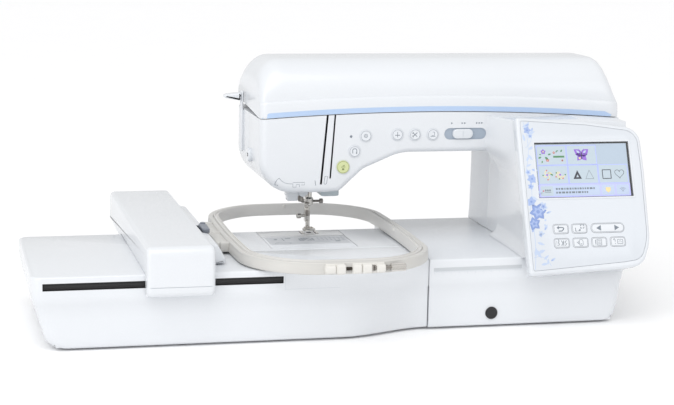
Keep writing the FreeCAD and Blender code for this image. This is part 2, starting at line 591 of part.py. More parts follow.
shaft_hole = rod("shaft_hole", "X", -60, "shaft_depth", "shaft_height", 400,
                 "shaft_radius + running_fit")
needle_guide = rod("needle_guide", "Z", 0, 0, 160, 30, "needle_bar_radius + running_fit")
presser_guide = rod("presser_guide", "Z", 0, "presser_depth", 160, 30,
                    "presser_radius + running_fit")
hook_guide = rod("hook_guide", "Z", 0, "hook_depth", 20, 20, "hook_stem + running_fit")
SOLE_LOW = "foot_height + floor_plate"
casting = fuse("casting", box("beam", -58, "column_right", "beam_front", "beam_back", "beam_low",
                              "beam_high"),
               box("column", "column_left", "column_right", "beam_front", "beam_back", SOLE_LOW,
                   "beam_low"),
               box("sole", "cross_left", "column_right", "beam_front - 16", "beam_back + 6",
                   SOLE_LOW, 14),
               box("drop", -14, 14, "beam_front", "beam_back", "guide_low", "beam_low"),
               box("guide_block", -10, 10, -8, "beam_back", "guide_low",
                   "guide_low + guide_tall"),
               box("left_bearing", -48, -38, 2, "beam_back", 200, 222),
               box("right_bearing", 288, 300, 2, "beam_back", 200, 222),
               box("cross_beam", "cross_left", "cross_right", "hook_depth - 9", "beam_back + 6",
                   SOLE_LOW, "hook_beam_high"),
               box("lower_beam", -12, "cross_right", "hook_depth - 9", "hook_depth + 9",
                   "hook_beam_low", "hook_beam_high"),
               box("lever_arm", 11, 14, -20, "beam_back", 199, 211),
               rod("take_up_pin", "X", "take_up_left - 1.1", "take_up_depth",
                   "take_up_height", 8, "take_up_pin"))
node("frame_casting", cut("frame_casting", casting, shaft_hole, needle_guide, presser_guide,
                          hook_guide))
node("main_shaft", fuse("main_shaft", rod("shaft", "X", -52, "shaft_depth", "shaft_height",
                                          "wheel_right + 40", "shaft_radius"),
                        rod("shaft_pulley", "X", "pulley_across", "shaft_depth", "shaft_height",
                            "belt_width", "pulley_radius")))
wheel = cut("wheel", rod("wheel_disc", "X", "wheel_right - 11", "shaft_depth", "shaft_height",
                         11, "wheel_radius"),
            rod("wheel_seat", "X", "wheel_right - 12", "shaft_depth", "shaft_height", 8,
                "shaft_radius"),
            rod("wheel_dish", "X", "wheel_right - 2", "shaft_depth", "shaft_height", 3,
                "wheel_radius - 8"))
node("handwheel", wheel)
node("motor", fuse("motor", rod("motor_can", "X", 245, "motor_depth", "motor_height", 60,
                                "motor_radius"),
                   box("motor_seat", 252, 298, -4, 28, "foot_height + floor_plate",
                       "motor_height - 10")))


def belt_face(grow):
    """The round-ended loop about the two pulleys, grow outside them."""
    big, small = S["pulley_radius"] + grow, S["motor_pulley_radius"] + grow
    high, low = S["shaft_height"], S["motor_height"]
    lean = math.asin((big - small) / (high - low))
    side_y, side_z = math.cos(lean), -math.sin(lean)
    y = S["shaft_depth"]
    corners = [(y - big * side_y, high + big * side_z), (y + big * side_y, high + big * side_z),
               (y + small * side_y, low + small * side_z),
               (y - small * side_y, low + small * side_z)]
    solid = face_yz(corners, S["pulley_across"] + 0.4).extrude(V(S["belt_width"] - 0.8, 0, 0))
    for z, radius in ((high, big), (low, small)):
        solid = solid.fuse(bar("X", S["pulley_across"] + 0.4, y, z, S["belt_width"] - 0.8, radius))
    return solid.removeSplitter()


motor_wheel = bar("X", S["pulley_across"] - 5, S["motor_depth"], S["motor_height"], 13,
                  S["motor_pulley_radius"])
feature("drive_belt", belt_face(2.2).cut(belt_face(0.4)).fuse(motor_wheel))

# ---------------------------------------------------------------- sewing group

bar_sum = fuse("bar_sum", rod("bar_rod", "Z", 0, 0, 120, 109.5, "needle_bar_radius"),
               rod("clamp_barrel", "Z", 0, 0, 116, 10, 5),
               rod("clamp_screw", "X", 3, 0, 121, 12, 1.6),
               rod("clamp_head", "X", 13, 0, 121, 4, 3))
node("needle_bar", cut("needle_bar", bar_sum, rod("needle_socket", "Z", 0, 0, 115, 13, 1)))
node("needle", fuse("needle", rod("needle_shank", "Z", 0, 0, 110, 17, 1),
                    rod("needle_blade", "Z", 0, 0, "needle_tip", "110 - needle_tip", 0.45)))
node("presser_bar", rod("presser_bar", "Z", 0, "presser_depth", 112, 80, "presser_radius"))
ankle = box("ankle", -3.5, 3, "presser_depth - 3.4", "presser_depth + 3", 92, 112)
sole = cut("sole", rod("sole_disc", "Z", 0, 0, 85, 2.4, 8),
           rod("sole_hole", "Z", 0, 0, 84, 5, 3.4))
node("embroidery_foot", fuse("embroidery_foot", ankle, sole,
                             box("instep", -2.4, 2.4, 5.4, "presser_depth + 1", 85, 96),
                             rod("screw_neck", "X", -8, "presser_depth", 101, 5, 1.8),
                             rod("screw_head", "X", -13, "presser_depth", 101, 5, 3.4)))
node("lamp_housing", box("lamp_housing", 5, 27, -42, -14, "head_bottom - 11", "head_bottom"))
node("needle_threader", fuse("needle_threader",
                             box("threader_block", -34, -18, -26, -12, 126, "head_bottom + 12"),
                             box("threader_wing", -18, -7, -24, -14, 130, "head_bottom - 4"),
                             box("threader_hook", -17, -8, -13.6, -8, 121, 131)))
take_up = fuse("take_up", rod("take_up_boss", "X", "take_up_left", "take_up_depth",
                              "take_up_height", 5, 5),
               box("take_up_arm", "take_up_left + 1.2", "take_up_left + 3.8", "take_up_reach",
                   "take_up_depth", "take_up_height - 2.5", "take_up_height + 2.5"))
node("take_up_lever", cut("take_up_lever", take_up,
                          rod("take_up_bore", "X", "take_up_left - 1", "take_up_depth",
                              "take_up_height", 8, "take_up_pin + running_fit"),
                          rod("take_up_eye", "X", "take_up_left + 1", "take_up_reach + 4",
                              "take_up_height", 3, 1.4)))
node("threader_lever", prism("threader_lever", "XZ", [
    ("head_left - 24", 245), ("head_left - 24", 249), ("head_left - 3.4", 251.5),
    ("head_left - 3.4", 241.5)], "threader_front", "threader_back"))
node("thread_cutter", box("thread_cutter", "head_left - 4", "head_left", -30, -8, 172, 192))
node("presser_lever", fuse("presser_lever",
                           rod("lever_hub", "Y", "lever_across", "body_back + gap",
                               "lever_height", 8, 6),
                           box("lever_bar", "lever_across - 3", "lever_across + 3",
                               "body_back + 2.4", "body_back + 8.4", "lever_height - 44",
                               "lever_height")))
handle = fuse("handle", rod("handle_pin_left", "X", "handle_left - 4", "body_back + handle_out",
                            "handle_height", 5, "handle_pin"),
              rod("handle_pin_right", "X", "handle_right - 1", "body_back + handle_out",
                  "handle_height", 5, "handle_pin"),
              box("grip", "handle_left", "handle_right", "body_back + 2", "body_back + 14",
                  "handle_low", "handle_low + 11"),
              box("handle_arm_left", "handle_left", "handle_left + 14", "body_back + 2",
                  "body_back + 10", "handle_low", "handle_height + 3"),
              box("handle_arm_right", "handle_right - 14", "handle_right", "body_back + 2",
                  "body_back + 10", "handle_low", "handle_height + 3"))
node("carry_handle", handle)

# ---------------------------------------------------------------- embroidery unit

UL, UF = S["unit_left"], S["unit_front"]
INNER_X, INNER_Y = S["free_left"] - G, S["free_front"] - G
RIM_X = S["seam"] - G


def unit_plan(inset):
    """The unit seen from above, drawn in by inset: two arcs make the swept front."""
    front, near = UF + inset, S["body_front"] + 2 + inset
    start, bend = -6, 62
    swing = Part.Arc(V(start, front, 0), V(30, front + 7, 0), V(46, (front + near) / 2, 0))
    sweep = Part.Arc(V(46, (front + near) / 2, 0), V(bend, near - 7, 0), V(RIM_X - inset, near, 0))
    corners = [(RIM_X - inset, near), (RIM_X - inset, INNER_Y - inset),
               (INNER_X - inset, INNER_Y - inset), (INNER_X - inset, S["free_back"] + 8 - inset),
               (UL + inset, S["free_back"] + 8 - inset), (UL + inset, front), (start, front)]
    edges = [swing.toShape(), sweep.toShape()]
    edges += [Part.LineSegment(V(*a, 0), V(*b, 0)).toShape() for a, b in zip(corners, corners[1:])]
    return Part.Face(Part.Wire(edges))


def unit_block(inset, low, high):
    plan = unit_plan(inset)
    plan.translate(V(0, 0, low))
    solid = plan.extrude(V(0, 0, high - low))
    end = [(UL + inset, high + 1), (UL + inset, BED - 15), (UL + 3 + inset, 50),
           (UL + 12 + inset, 19.5), (UL + 22 + inset, FLOOR), (UL + 22 + inset, low - 1),
           (RIM_X + 20, low - 1), (RIM_X + 20, high + 1)]
    return solid.common(face_xz(end, -400).extrude(V(0, 600, 0)))


unit = unit_block(0, FLOOR, BED).cut(unit_block(W, FLOOR - 1, BED - W))
unit = unit.cut(block(S["slot_left"], S["slot_right"], UF - 1, UF + W + 1, S["slot_low"],
                      S["slot_high"]))
feature("unit_shell", unit)
main_bottom = prism("main_bottom", "XY", [
    ("seam + wall", "body_front + wall"), ("body_right - 13 - wall", "body_front + wall"),
    ("body_right - 13 - wall", "body_back - wall"), ("seam + wall", "body_back - wall")],
    "foot_height", "foot_height + floor_plate")
unit_bottom = prism("unit_bottom", "XY", [
    ("unit_left + 26", "unit_front + 4"), ("-8", "unit_front + 4"),
    ("seam - 64", "body_front - 6"), ("seam - 5", "body_front + 8"),
    ("seam - 5", "free_front - 4"),
    ("free_left - 4", "free_front - 4"), ("free_left - 4", "free_back + 4"),
    ("unit_left + 26", "free_back + 4")], "foot_height", "foot_height + floor_plate")
node("bottom_plates", fuse("bottom_plates", main_bottom, unit_bottom))
LINK_Z = (70.6, 71.4)
node("slot_seal", fuse("slot_seal",
                       box("lower_lip", "slot_left - 1", "slot_right + 1", "unit_front + wall",
                           "unit_front + wall + 2", "slot_low - 2", LINK_Z[0] - 0.4),
                       box("upper_lip", "slot_left - 1", "slot_right + 1", "unit_front + wall",
                           "unit_front + wall + 2", LINK_Z[1] + 0.4, "slot_high + 2")))
rail_ends = [box("rail_end%d" % i, x, x + 8, "unit_rail_depth - 8", "unit_rail_depth + 8",
                 "foot_height + floor_plate", "unit_rail_height + 8")
             for i, x in enumerate((S["x_rail_left"], S["x_rail_right"] - 8))]
node("unit_rail", fuse("unit_rail", rod("x_rod", "X", "x_rail_left", "unit_rail_depth",
                                        "unit_rail_height", "x_rail_right - x_rail_left",
                                        "rail_radius"), *rail_ends))

CL, CR = S["carriage_left"], S["carriage_left"] + S["carriage_wide"]
CF, CB, CT = S["carriage_front"], S["carriage_back"], S["carriage_top"]
CU = BED + S["carriage_float"]
car = [(CF, S["carriage_skirt"]), (CF, CT), (CB, CT), (CB, BED - 7), (S["free_back"] + 12, BED - 7),
       (S["free_back"] + 12, CU), (UF - 0.6, CU), (UF - 0.6, S["carriage_skirt"])]
carriage = face_yz(car, CL).extrude(V(CR - CL, 0, 0))
long_edges = [e for e in carriage.Edges
              if all(abs(v.Point.z - CT) < 0.01 for v in e.Vertexes)]
carriage = carriage.makeFillet(8, long_edges)
carriage = carriage.cut(block(CL + W, CR - W, UF + 1, CB - W, BED - 4, CT - W))
carriage = carriage.cut(block(CL + W, CR - W, UF - 0.6, CB - W, CU + 2, CT - W))
carriage = carriage.cut(block(CL + W, CR - W, CF + W, UF, S["carriage_skirt"] + W, CT - W))
HOLD_LINK = (S["holder_low"], S["holder_high"])
carriage = carriage.cut(block(CR - W - 1, CR + 1, CF + 8, CB - 8, HOLD_LINK[0] - 0.5,
                              HOLD_LINK[1] + 0.5))
feature("carriage_cover", carriage)
carrier = fuse("carrier",
               box("link", "slider_left", "slider_right", "carriage_front + wall",
                   "unit_rail_depth + 4", *LINK_Z),
               box("riser", "slider_left", "slider_right", "unit_rail_depth", "unit_rail_depth + 4",
                   "unit_rail_height", LINK_Z[1]),
               box("slider", "slider_left", "slider_right", "unit_rail_depth - 8",
                   "unit_rail_depth + 8", "unit_rail_height - 8", "unit_rail_height + 8"),
               box("link_root", "slider_left", "slider_right", "carriage_front + wall", "unit_front - 0.6",
                   LINK_Z[0], "bed_height"))
slider = cut("slider", carrier, rod("x_bore", "X", -230, "unit_rail_depth", "unit_rail_height",
                                    80, "rail_radius + running_fit"))
node("carriage_guides", fuse("carriage_guides", slider,
                             rod("carriage_rail", "Y", "carriage_left + y_rail_in",
                                 "carriage_front + wall", "y_rail_height",
                                 "carriage_back - carriage_front - 2 * wall", "rail_radius")))

HX = "carriage_left + carriage_wide"
holder_sum = fuse("holder",
                  box("holder_bar", HX + " + 0.6", HX + " + holder_wide + 0.6", "holder_front",
                      "holder_back", "bed_height + 1.6", 107),
                  box("holder_link", HX + " - 14", HX + " + 2", "holder_near", "holder_far",
                      "holder_low", "holder_high"),
                  box("holder_block", HX + " - 23", HX + " - 8", "holder_near", "holder_far",
                      "holder_low", "y_rail_height + 8"))
node("frame_holder", cut("frame_holder", holder_sum,
                         rod("holder_bore", "Y", "carriage_left + y_rail_in",
                             "holder_near - 10", "y_rail_height", 60,
                             "rail_radius + running_fit")))
node("holder_lever", fuse("holder_lever",
                          box("lever_blade", "lever_side - 5", "lever_side + 4",
                              "lever_pivot_depth - 32", "lever_pivot_depth", 107.4, 111),
                          rod("lever_pivot", "Z", "lever_side", "lever_pivot_depth", 107.4, 3.6,
                              5)))

# ---------------------------------------------------------------- hoop

HL, HW_ = S["hoop_left"], S["hoop_wide"]
HF = S["hoop_front"] + 6
HN = HF + S["hoop_long"]
MX, MY = HL + HW_ / 2, HF + S["hoop_long"] / 2


def hoop_block(inset, low, high):
    """A rounded oblong with bowed sides, drawn in by inset."""
    x0, x1, y0, y1 = HL + inset, HL + HW_ - inset, HF + inset, HN - inset
    bow, lead = S["hoop_bow"], S["hoop_bow"]
    ends = [V(x0 + lead, y0 + lead, 0), V(x1 - lead, y0 + lead, 0), V(x1 - lead, y1 - lead, 0),
            V(x0 + lead, y1 - lead, 0)]
    mids = [V(MX, y0, 0), V(x1, MY, 0), V(MX, y1, 0), V(x0, MY, 0)]
    arcs = [Part.Arc(ends[i], mids[i], ends[(i + 1) % 4]).toShape() for i in range(4)]
    face = Part.Face(Part.Wire(arcs))
    face.translate(V(0, 0, low))
    solid = face.extrude(V(0, 0, high - low))
    return soften(solid, [(e.x, e.y, S["hoop_corner"] - inset) for e in ends], "Z")


HOOP_LOW, HOOP_TOP = S["hoop_low"], S["hoop_low"] + S["hoop_tall"]
INNER_AT = S["hoop_band"] + 0.35
outer_ring = hoop_block(0, HOOP_LOW, HOOP_TOP).cut(
    hoop_block(S["hoop_band"], HOOP_LOW - 1, HOOP_TOP + 1))
CLAMP_Y, CLAMP_Z = S["hoop_front"] + 4.8, HOOP_LOW + 6.6
for x0, x1 in ((-37, -9), (-5, 30)):
    outer_ring = outer_ring.fuse(block(x0, x1, S["hoop_front"], HF + 3, HOOP_LOW + 1,
                                       HOOP_TOP - 1))
outer_ring = outer_ring.fuse(block(CR + S["holder_wide"] + 0.6, HL + 4, -110, 10, HOOP_LOW + 1,
                                   HOOP_TOP - 2)).cut(hoop_block(S["hoop_band"], 70, 110))
outer_ring = outer_ring.cut(bar("X", -40, CLAMP_Y, CLAMP_Z, 80,
                                 S["hoop_thread_radius"] + G))
outer_ring = outer_ring.cut(bar("X", 36.5, CLAMP_Y, CLAMP_Z, 19, S["hoop_knob_radius"] + 0.5))
outer_ring = outer_ring.cut(block(-9, -5, S["hoop_front"] - 1, HF + 9, 70, 110))
feature("hoop_outer", outer_ring.removeSplitter())
inner_ring = hoop_block(INNER_AT, HOOP_LOW, HOOP_TOP + 1).cut(
    hoop_block(INNER_AT + S["hoop_inner_band"], HOOP_LOW - 1, HOOP_TOP + 2))
feature("hoop_inner", inner_ring)
node("hoop_screw", fuse("hoop_screw", rod("hoop_thread", "X", -36, CLAMP_Y, CLAMP_Z, 76,
                                        "hoop_thread_radius"),
                        rod("hoop_knob", "X", 37, CLAMP_Y, CLAMP_Z, 17, "hoop_knob_radius")))

# ---------------------------------------------------------------- checks and export

doc.removeObject(scratch.Name)
doc.recompute()
faults = [o.Name for o in doc.Objects if "Invalid" in o.State or "Error" in o.State]
for piece in nodes:
    if piece.Shape.isNull() or not piece.Shape.isValid() or not piece.Shape.Solids:
        faults.append(piece.Label)
if faults:
    raise SystemExit("these did not build: " + ", ".join(sorted(set(faults))))
for piece in nodes:
    piece.Shape.exportStep("parts/%s.step" % piece.Label)
whole = FreeCAD.BoundBox()
for piece in nodes:
    whole.add(piece.Shape.BoundBox)
print("%d pieces, %.1f x %.1f x %.1f mm" % (len(nodes), whole.XLength, whole.YLength,
                                            whole.ZLength))
print("centre off by %.2f, %.2f, base at %.2f" % (whole.Center.x, whole.Center.y, whole.ZMin))
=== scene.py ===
import math
import random

import bmesh
import bpy
from mathutils import Matrix, Vector


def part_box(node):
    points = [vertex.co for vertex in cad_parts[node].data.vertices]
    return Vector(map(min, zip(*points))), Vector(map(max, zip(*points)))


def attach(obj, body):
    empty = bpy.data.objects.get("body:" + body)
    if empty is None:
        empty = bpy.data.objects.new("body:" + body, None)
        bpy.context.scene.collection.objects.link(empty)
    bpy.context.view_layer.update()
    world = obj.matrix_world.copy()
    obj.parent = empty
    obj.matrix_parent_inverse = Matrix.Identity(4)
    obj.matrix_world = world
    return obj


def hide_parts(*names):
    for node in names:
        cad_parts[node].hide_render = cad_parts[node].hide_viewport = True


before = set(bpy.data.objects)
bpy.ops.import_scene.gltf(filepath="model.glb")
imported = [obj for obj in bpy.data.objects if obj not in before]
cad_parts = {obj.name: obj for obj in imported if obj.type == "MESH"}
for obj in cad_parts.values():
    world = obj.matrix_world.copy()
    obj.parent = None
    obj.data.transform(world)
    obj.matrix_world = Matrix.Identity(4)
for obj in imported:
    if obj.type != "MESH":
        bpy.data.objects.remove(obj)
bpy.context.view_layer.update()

# White sewing and embroidery machine. Pieces are drawn in millimetres about the needle
# line, X right, Y back, Z up from the table, and are moved to the frame by PLACE.
MM = 0.001
NEEDLE_LOW, NEEDLE_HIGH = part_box("needle")
NEEDLE_AT = (NEEDLE_LOW + NEEDLE_HIGH) / 2
PLACE = Matrix.Translation((NEEDLE_AT.x, NEEDLE_AT.y, 0)) @ Matrix.Scale(MM, 4)
RANDOM = random.Random(7)


def mm_box(node):
    """A CAD node's corners in millimetres about the needle."""
    low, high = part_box(node)
    back = PLACE.inverted()
    return back @ low, back @ high


BASE_HIGH = mm_box("base_shell")[1]
HEAD_LOW, HEAD_HIGH = mm_box("front_casing")
COVER_HIGH = mm_box("top_cover")[1]
UNIT_LOW = mm_box("unit_shell")[0]
CAR_LOW, CAR_HIGH = mm_box("carriage_cover")
BED = BASE_HIGH.z
FRONT = -80.0
BACK = BASE_HIGH.y
SEAM = 102.0
SPLIT = -4.0

# ------------------------------------------------------------------ materials

DRIFT_SCALE = 9.0
GRAIN_DEPTH = 0.0002


def noise(nodes, links, place, scale, detail):
    texture = nodes.new("ShaderNodeTexNoise")
    texture.inputs["Scale"].default_value = scale
    texture.inputs["Detail"].default_value = detail
    links.new(place.outputs["Object"], texture.inputs["Vector"])
    return texture


def shader(name, color, rough, metal=0.0, coat=0.0, mottle=0.03, grain=1600.0, bump=0.04,
           rough_swing=0.06, glow=0.0, specular=0.5):
    """A moulded or metal surface: faint colour drift, uneven gloss and a fine grain."""
    mat = bpy.data.materials.new(name)
    mat.use_nodes = True
    nodes, links = mat.node_tree.nodes, mat.node_tree.links
    bsdf = nodes["Principled BSDF"]
    place = nodes.new("ShaderNodeTexCoord")
    drift = noise(nodes, links, place, DRIFT_SCALE, 3.0)
    ramp = nodes.new("ShaderNodeValToRGB")
    dark = [max(c * (1 - mottle), 0) for c in color]
    light = [min(c * (1 + mottle), 1) for c in color]
    for stop, position, tone in zip(ramp.color_ramp.elements, (0.3, 0.7), (dark, light)):
        stop.position = position
        stop.color = (*tone, 1)
    links.new(drift.outputs["Fac"], ramp.inputs["Fac"])
    links.new(ramp.outputs["Color"], bsdf.inputs["Base Color"])
    fine = noise(nodes, links, place, grain, 2.0)
    gloss = nodes.new("ShaderNodeMapRange")
    gloss.inputs["To Min"].default_value = max(rough - rough_swing, 0.02)
    gloss.inputs["To Max"].default_value = min(rough + rough_swing, 1)
    links.new(fine.outputs["Fac"], gloss.inputs["Value"])
    links.new(gloss.outputs["Result"], bsdf.inputs["Roughness"])
    relief = nodes.new("ShaderNodeBump")
    relief.inputs["Strength"].default_value = bump
    relief.inputs["Distance"].default_value = GRAIN_DEPTH
    links.new(fine.outputs["Fac"], relief.inputs["Height"])
    links.new(relief.outputs["Normal"], bsdf.inputs["Normal"])
    for field, value in (("Metallic", metal), ("Coat Weight", coat), ("Coat Roughness", 0.08),
                         ("Specular IOR Level", specular)):
        bsdf.inputs[field].default_value = value
    if glow:
        links.new(ramp.outputs["Color"], bsdf.inputs["Emission Color"])
        bsdf.inputs["Emission Strength"].default_value = glow
    return mat


WHITE = shader("white_moulding", (0.735, 0.757, 0.788), 0.26, coat=0.25, mottle=0.012)
WHITE_SATIN = shader("white_satin", (0.76, 0.78, 0.81), 0.42, mottle=0.015, bump=0.08)
PANEL_WHITE = shader("panel_white", (0.665, 0.697, 0.742), 0.20, coat=0.5, mottle=0.01)
RIM_WHITE = shader("rim_white", (0.70, 0.728, 0.765), 0.18, coat=0.5, mottle=0.01)
BLUE = shader("blue_trim", (0.44, 0.575, 0.79), 0.25, coat=0.3, mottle=0.03)
LINE_GREY = shader("line_grey", (0.20, 0.23, 0.27), 0.5, mottle=0.06)
PALE_LINE = shader("pale_line", (0.56, 0.60, 0.64), 0.5, mottle=0.05)
INK = shader("ink_dark", (0.06, 0.065, 0.08), 0.5, mottle=0.1)
BLACK = shader("black_moulding", (0.013, 0.013, 0.015), 0.42, mottle=0.2, bump=0.1)
GAP_DARK = shader("gap_shadow", (0.10, 0.11, 0.13), 0.8, mottle=0.15)
HOOP = shader("hoop_resin", (0.60, 0.59, 0.565), 0.38, mottle=0.03, bump=0.10)
# Lighter copy of the hoop resin for the inner ring: painted light that brightens the ring's shaded
# inner walls.
HOOP_INNER_PAINTED_LIGHT = shader("hoop_resin_inner_painted_light", (0.68, 0.67, 0.65), 0.40, mottle=0.03, bump=0.10)
HOOP_LUG = shader("hoop_lug", (0.74, 0.725, 0.69), 0.36, mottle=0.02, bump=0.08)
SLATE = shader("slate_grip", (0.22, 0.24, 0.28), 0.45, mottle=0.05)
LAMP = shader("lamp_grey", (0.47, 0.53, 0.56), 0.3, mottle=0.03)
STEEL = shader("bright_steel", (0.66, 0.64, 0.61), 0.22, metal=1.0, mottle=0.05, grain=2600)
STEEL_DARK = shader("aged_steel", (0.30, 0.28, 0.26), 0.32, metal=1.0, mottle=0.15, grain=2200)
CAST = shader("cast_alloy", (0.48, 0.49, 0.50), 0.55, metal=0.9, mottle=0.08, grain=700,
              bump=0.4)
LABEL = shader("label_foil", (0.62, 0.64, 0.67), 0.35, metal=0.25, mottle=0.03)
RUBBER = shader("rubber", (0.02, 0.02, 0.021), 0.8, mottle=0.2, bump=0.3)
LIT_GREEN = shader("lit_start", (0.64, 0.69, 0.36), 0.3, coat=0.3, mottle=0.04)
SCREEN = shader("screen_lit", (0.39, 0.47, 0.56), 0.16, mottle=0.02, glow=0.12, coat=0.4)
TILE = shader("screen_tile", (0.45, 0.53, 0.59), 0.18, mottle=0.02, glow=0.12)
TILE_EDGE = shader("screen_edge", (0.42, 0.47, 0.86), 0.2, mottle=0.03, glow=0.10)
BAR_BLUE = shader("screen_bar", (0.48, 0.50, 0.90), 0.2, mottle=0.04, glow=0.10)
VIOLET = shader("screen_violet", (0.30, 0.16, 0.62), 0.2, mottle=0.10, glow=0.06)
ROSE = shader("screen_rose", (0.55, 0.16, 0.20), 0.3, mottle=0.1, glow=0.05)
LEAF = shader("screen_leaf", (0.10, 0.26, 0.12), 0.3, mottle=0.15, glow=0.04)
STRAW = shader("screen_straw", (0.80, 0.66, 0.34), 0.3, mottle=0.08, glow=0.06)
PETAL = shader("floral_blue", (0.22, 0.31, 0.60), 0.24, coat=0.4, mottle=0.12)
PETAL_MID = shader("floral_mid", (0.34, 0.44, 0.70), 0.24, coat=0.4, mottle=0.08)
GLASS_BLACK = shader("screen_border", (0.012, 0.012, 0.014), 0.12, mottle=0.1, coat=0.5)
KEY_WHITE = shader("key_white", (0.74, 0.765, 0.80), 0.3, mottle=0.015, bump=0.06)
LINE_GREEN = shader("line_green", (0.22, 0.26, 0.10), 0.5, mottle=0.05)
SCALE_GREY = shader("scale_grey", (0.55, 0.575, 0.60), 0.45, mottle=0.03)
TRACK_BLUE = shader("slider_track", (0.36, 0.42, 0.50), 0.4, mottle=0.05)
PLATE_STEEL = shader("plate_satin", (0.80, 0.81, 0.82), 0.3, metal=0.5, mottle=0.02)
PETAL_PALE = shader("floral_pale", (0.50, 0.59, 0.76), 0.24, coat=0.4, mottle=0.05)

# ------------------------------------------------------------------ mesh helpers


def outline(corners, steps=10):
    """A closed line from (a, b, radius) corners, with each corner turned by an arc."""
    points = []
    count = len(corners)
    for i, (a, b, radius) in enumerate(corners):
        here = Vector((a, b))
        before = Vector(corners[i - 1][:2]) - here
        after = Vector(corners[(i + 1) % count][:2]) - here
        turn = before.angle(after)
        if radius <= 0 or turn > math.pi - 0.001:
            points.append(here)
            continue
        reach = min(radius / math.tan(turn / 2), before.length * 0.49, after.length * 0.49)
        radius = reach * math.tan(turn / 2)
        start, end = here + before.normalized() * reach, here + after.normalized() * reach
        middle = here + (before.normalized() + after.normalized()).normalized() * (
            radius / math.sin(turn / 2))
        first = start - middle
        sweep = first.angle_signed(end - middle)
        for k in range(steps + 1):
            spin = Matrix.Rotation(-sweep * k / steps, 2)
            points.append(middle + spin @ first)
    return points


def sides(points):
    """The neighbouring pairs of points of a closed line."""
    return zip(points, points[1:] + points[:1])


def split_line(points, step):
    """The closed line with its long sides cut up in lengths of about step."""
    fine = []
    for a, b in sides(points):
        cuts = max(int((b - a).length / step), 1)
        fine += [a.lerp(b, k / cuts) for k in range(cuts)]
    return fine


def drawn_in(points, distance):
    """The closed line moved to its left by distance, one number or one per point."""
    moved = []
    count = len(points)
    for i, here in enumerate(points):
        along = (points[(i + 1) % count] - here)
        back = (here - points[i - 1])
        along = along.normalized() if along.length > 1e-6 else back.normalized()
        back = back.normalized() if back.length > 1e-6 else along
        side = Vector((-(along.y + back.y), along.x + back.x))
        side = side.normalized() if side.length > 1e-6 else Vector((-along.y, along.x))
        step = distance[i] if isinstance(distance, list) else distance
        moved.append(here + side * step)
    return moved


def shaded(mesh, angle=32):
    for polygon in mesh.polygons:
        polygon.use_smooth = True
    mesh.set_sharp_from_angle(angle=math.radians(angle))


def linked(thing):
    """Puts a new object in the scene."""
    bpy.context.scene.collection.objects.link(thing)
    return thing


def piece(name, mesh_or_bm, material, body="machine", stands_for=(),
          angle=32, local=None):
    """Links a mesh drawn in millimetres as a piece that rides on a body."""
    if isinstance(mesh_or_bm, bmesh.types.BMesh):
        bmesh.ops.recalc_face_normals(mesh_or_bm, faces=mesh_or_bm.faces)
        mesh = bpy.data.meshes.new(name)
        mesh_or_bm.to_mesh(mesh)
        mesh_or_bm.free()
    else:
        mesh = mesh_or_bm
    if local is not None:
        mesh.transform(local)
    mesh.transform(PLACE)
    for mat in material if isinstance(material, (list, tuple)) else [material]:
        mesh.materials.append(mat)
    shaded(mesh, angle)
    thing = linked(bpy.data.objects.new(name, mesh))
    if body:
        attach(thing, body)
    if stands_for:
        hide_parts(*stands_for)
    return thing


def rings_mesh(rings, capped=True, looped=False):
    """Skins a row of closed rings of 3-D points."""
    bm = bmesh.new()
    rows = [[bm.verts.new(p) for p in ring] for ring in rings]
    pairs = list(zip(rows, rows[1:]))
    if looped:
        pairs.append((rows[-1], rows[0]))
    for low, high in pairs:
        count = len(low)
        for i in range(count):
            bm.faces.new((low[i], low[(i + 1) % count], high[(i + 1) % count], high[i]))
    if capped and not looped:
        bm.faces.new(rows[0])
        bm.faces.new(list(reversed(rows[-1])))
    return bm


def vectors(points):
    return [Vector(p) for p in points]


def along_y(points, y):
    return [Vector((p.x, y, p.y)) for p in points]


def along_z(points, z):
    return [Vector((p.x, p.y, z)) for p in points]


def along_x(points, x):
    return [Vector((x, p.x, p.y)) for p in points]


def turned_in(points, sense=1):
    """Makes a line run so that drawn_in moves it inwards."""
    points = vectors(points)
    area = sum(a.x * b.y - b.x * a.y for a, b in sides(points))
    return points if area * sense > 0 else list(reversed(points))


def prism(points, low, high, lift=along_z):
    """A closed line pulled straight from one level to another."""
    return rings_mesh([lift(points, low), lift(points, high)])


def rounded_slab(points, low, high, low_round, high_round, lift=along_z, steps=5):
    """A slab over a closed line, with the edges of both ends rounded over."""
    points = turned_in(points)
    radii = [low_round if isinstance(low_round, list) else [low_round] * len(points),
             high_round if isinstance(high_round, list) else [high_round] * len(points)]
    rings = []
    for end, (level, sign) in enumerate(((low, 1), (high, -1))):
        stack = []
        for k in range(steps + 1):
            part = math.pi / 2 * k / steps
            inset = [r * (1 - math.sin(part)) for r in radii[end]]
            line = drawn_in(points, inset)
            lifted = lift(line, level)
            axis = {along_z: 2, along_y: 1, along_x: 0}[lift]
            for spot, r in zip(lifted, radii[end]):
                spot[axis] += sign * r * (1 - math.cos(part))
            stack.append(lifted)
        rings += stack if end == 0 else list(reversed(stack))
    return rings_mesh(rings)


def box_mesh(low, high, soft=0.6, steps=3):
    """A block with rounded edges between two corners."""
    bm = bmesh.new()
    bmesh.ops.create_cube(bm, size=1.0)
    for vert in bm.verts:
        vert.co = Vector(low[i] + (vert.co[i] + 0.5) * (high[i] - low[i]) for i in range(3))
    if soft:
        bmesh.ops.bevel(bm, geom=bm.edges[:], offset=soft, segments=steps, profile=0.5,
                        affect="EDGES")
    return bm


def lathe(profile, centre, axis="Z", steps=48):
    """Turns (radius, height) pairs about an axis through centre."""
    rings = []
    for radius, height in profile:
        ring = []
        for k in range(steps):
            a = 2 * math.pi * k / steps
            u, v = radius * math.cos(a), radius * math.sin(a)
            spot = {"Z": (u, v, height), "X": (height, u, v), "Y": (u, height, v)}[axis]
            ring.append(Vector(centre) + Vector(spot))
        rings.append(ring)
    return rings_mesh(rings)


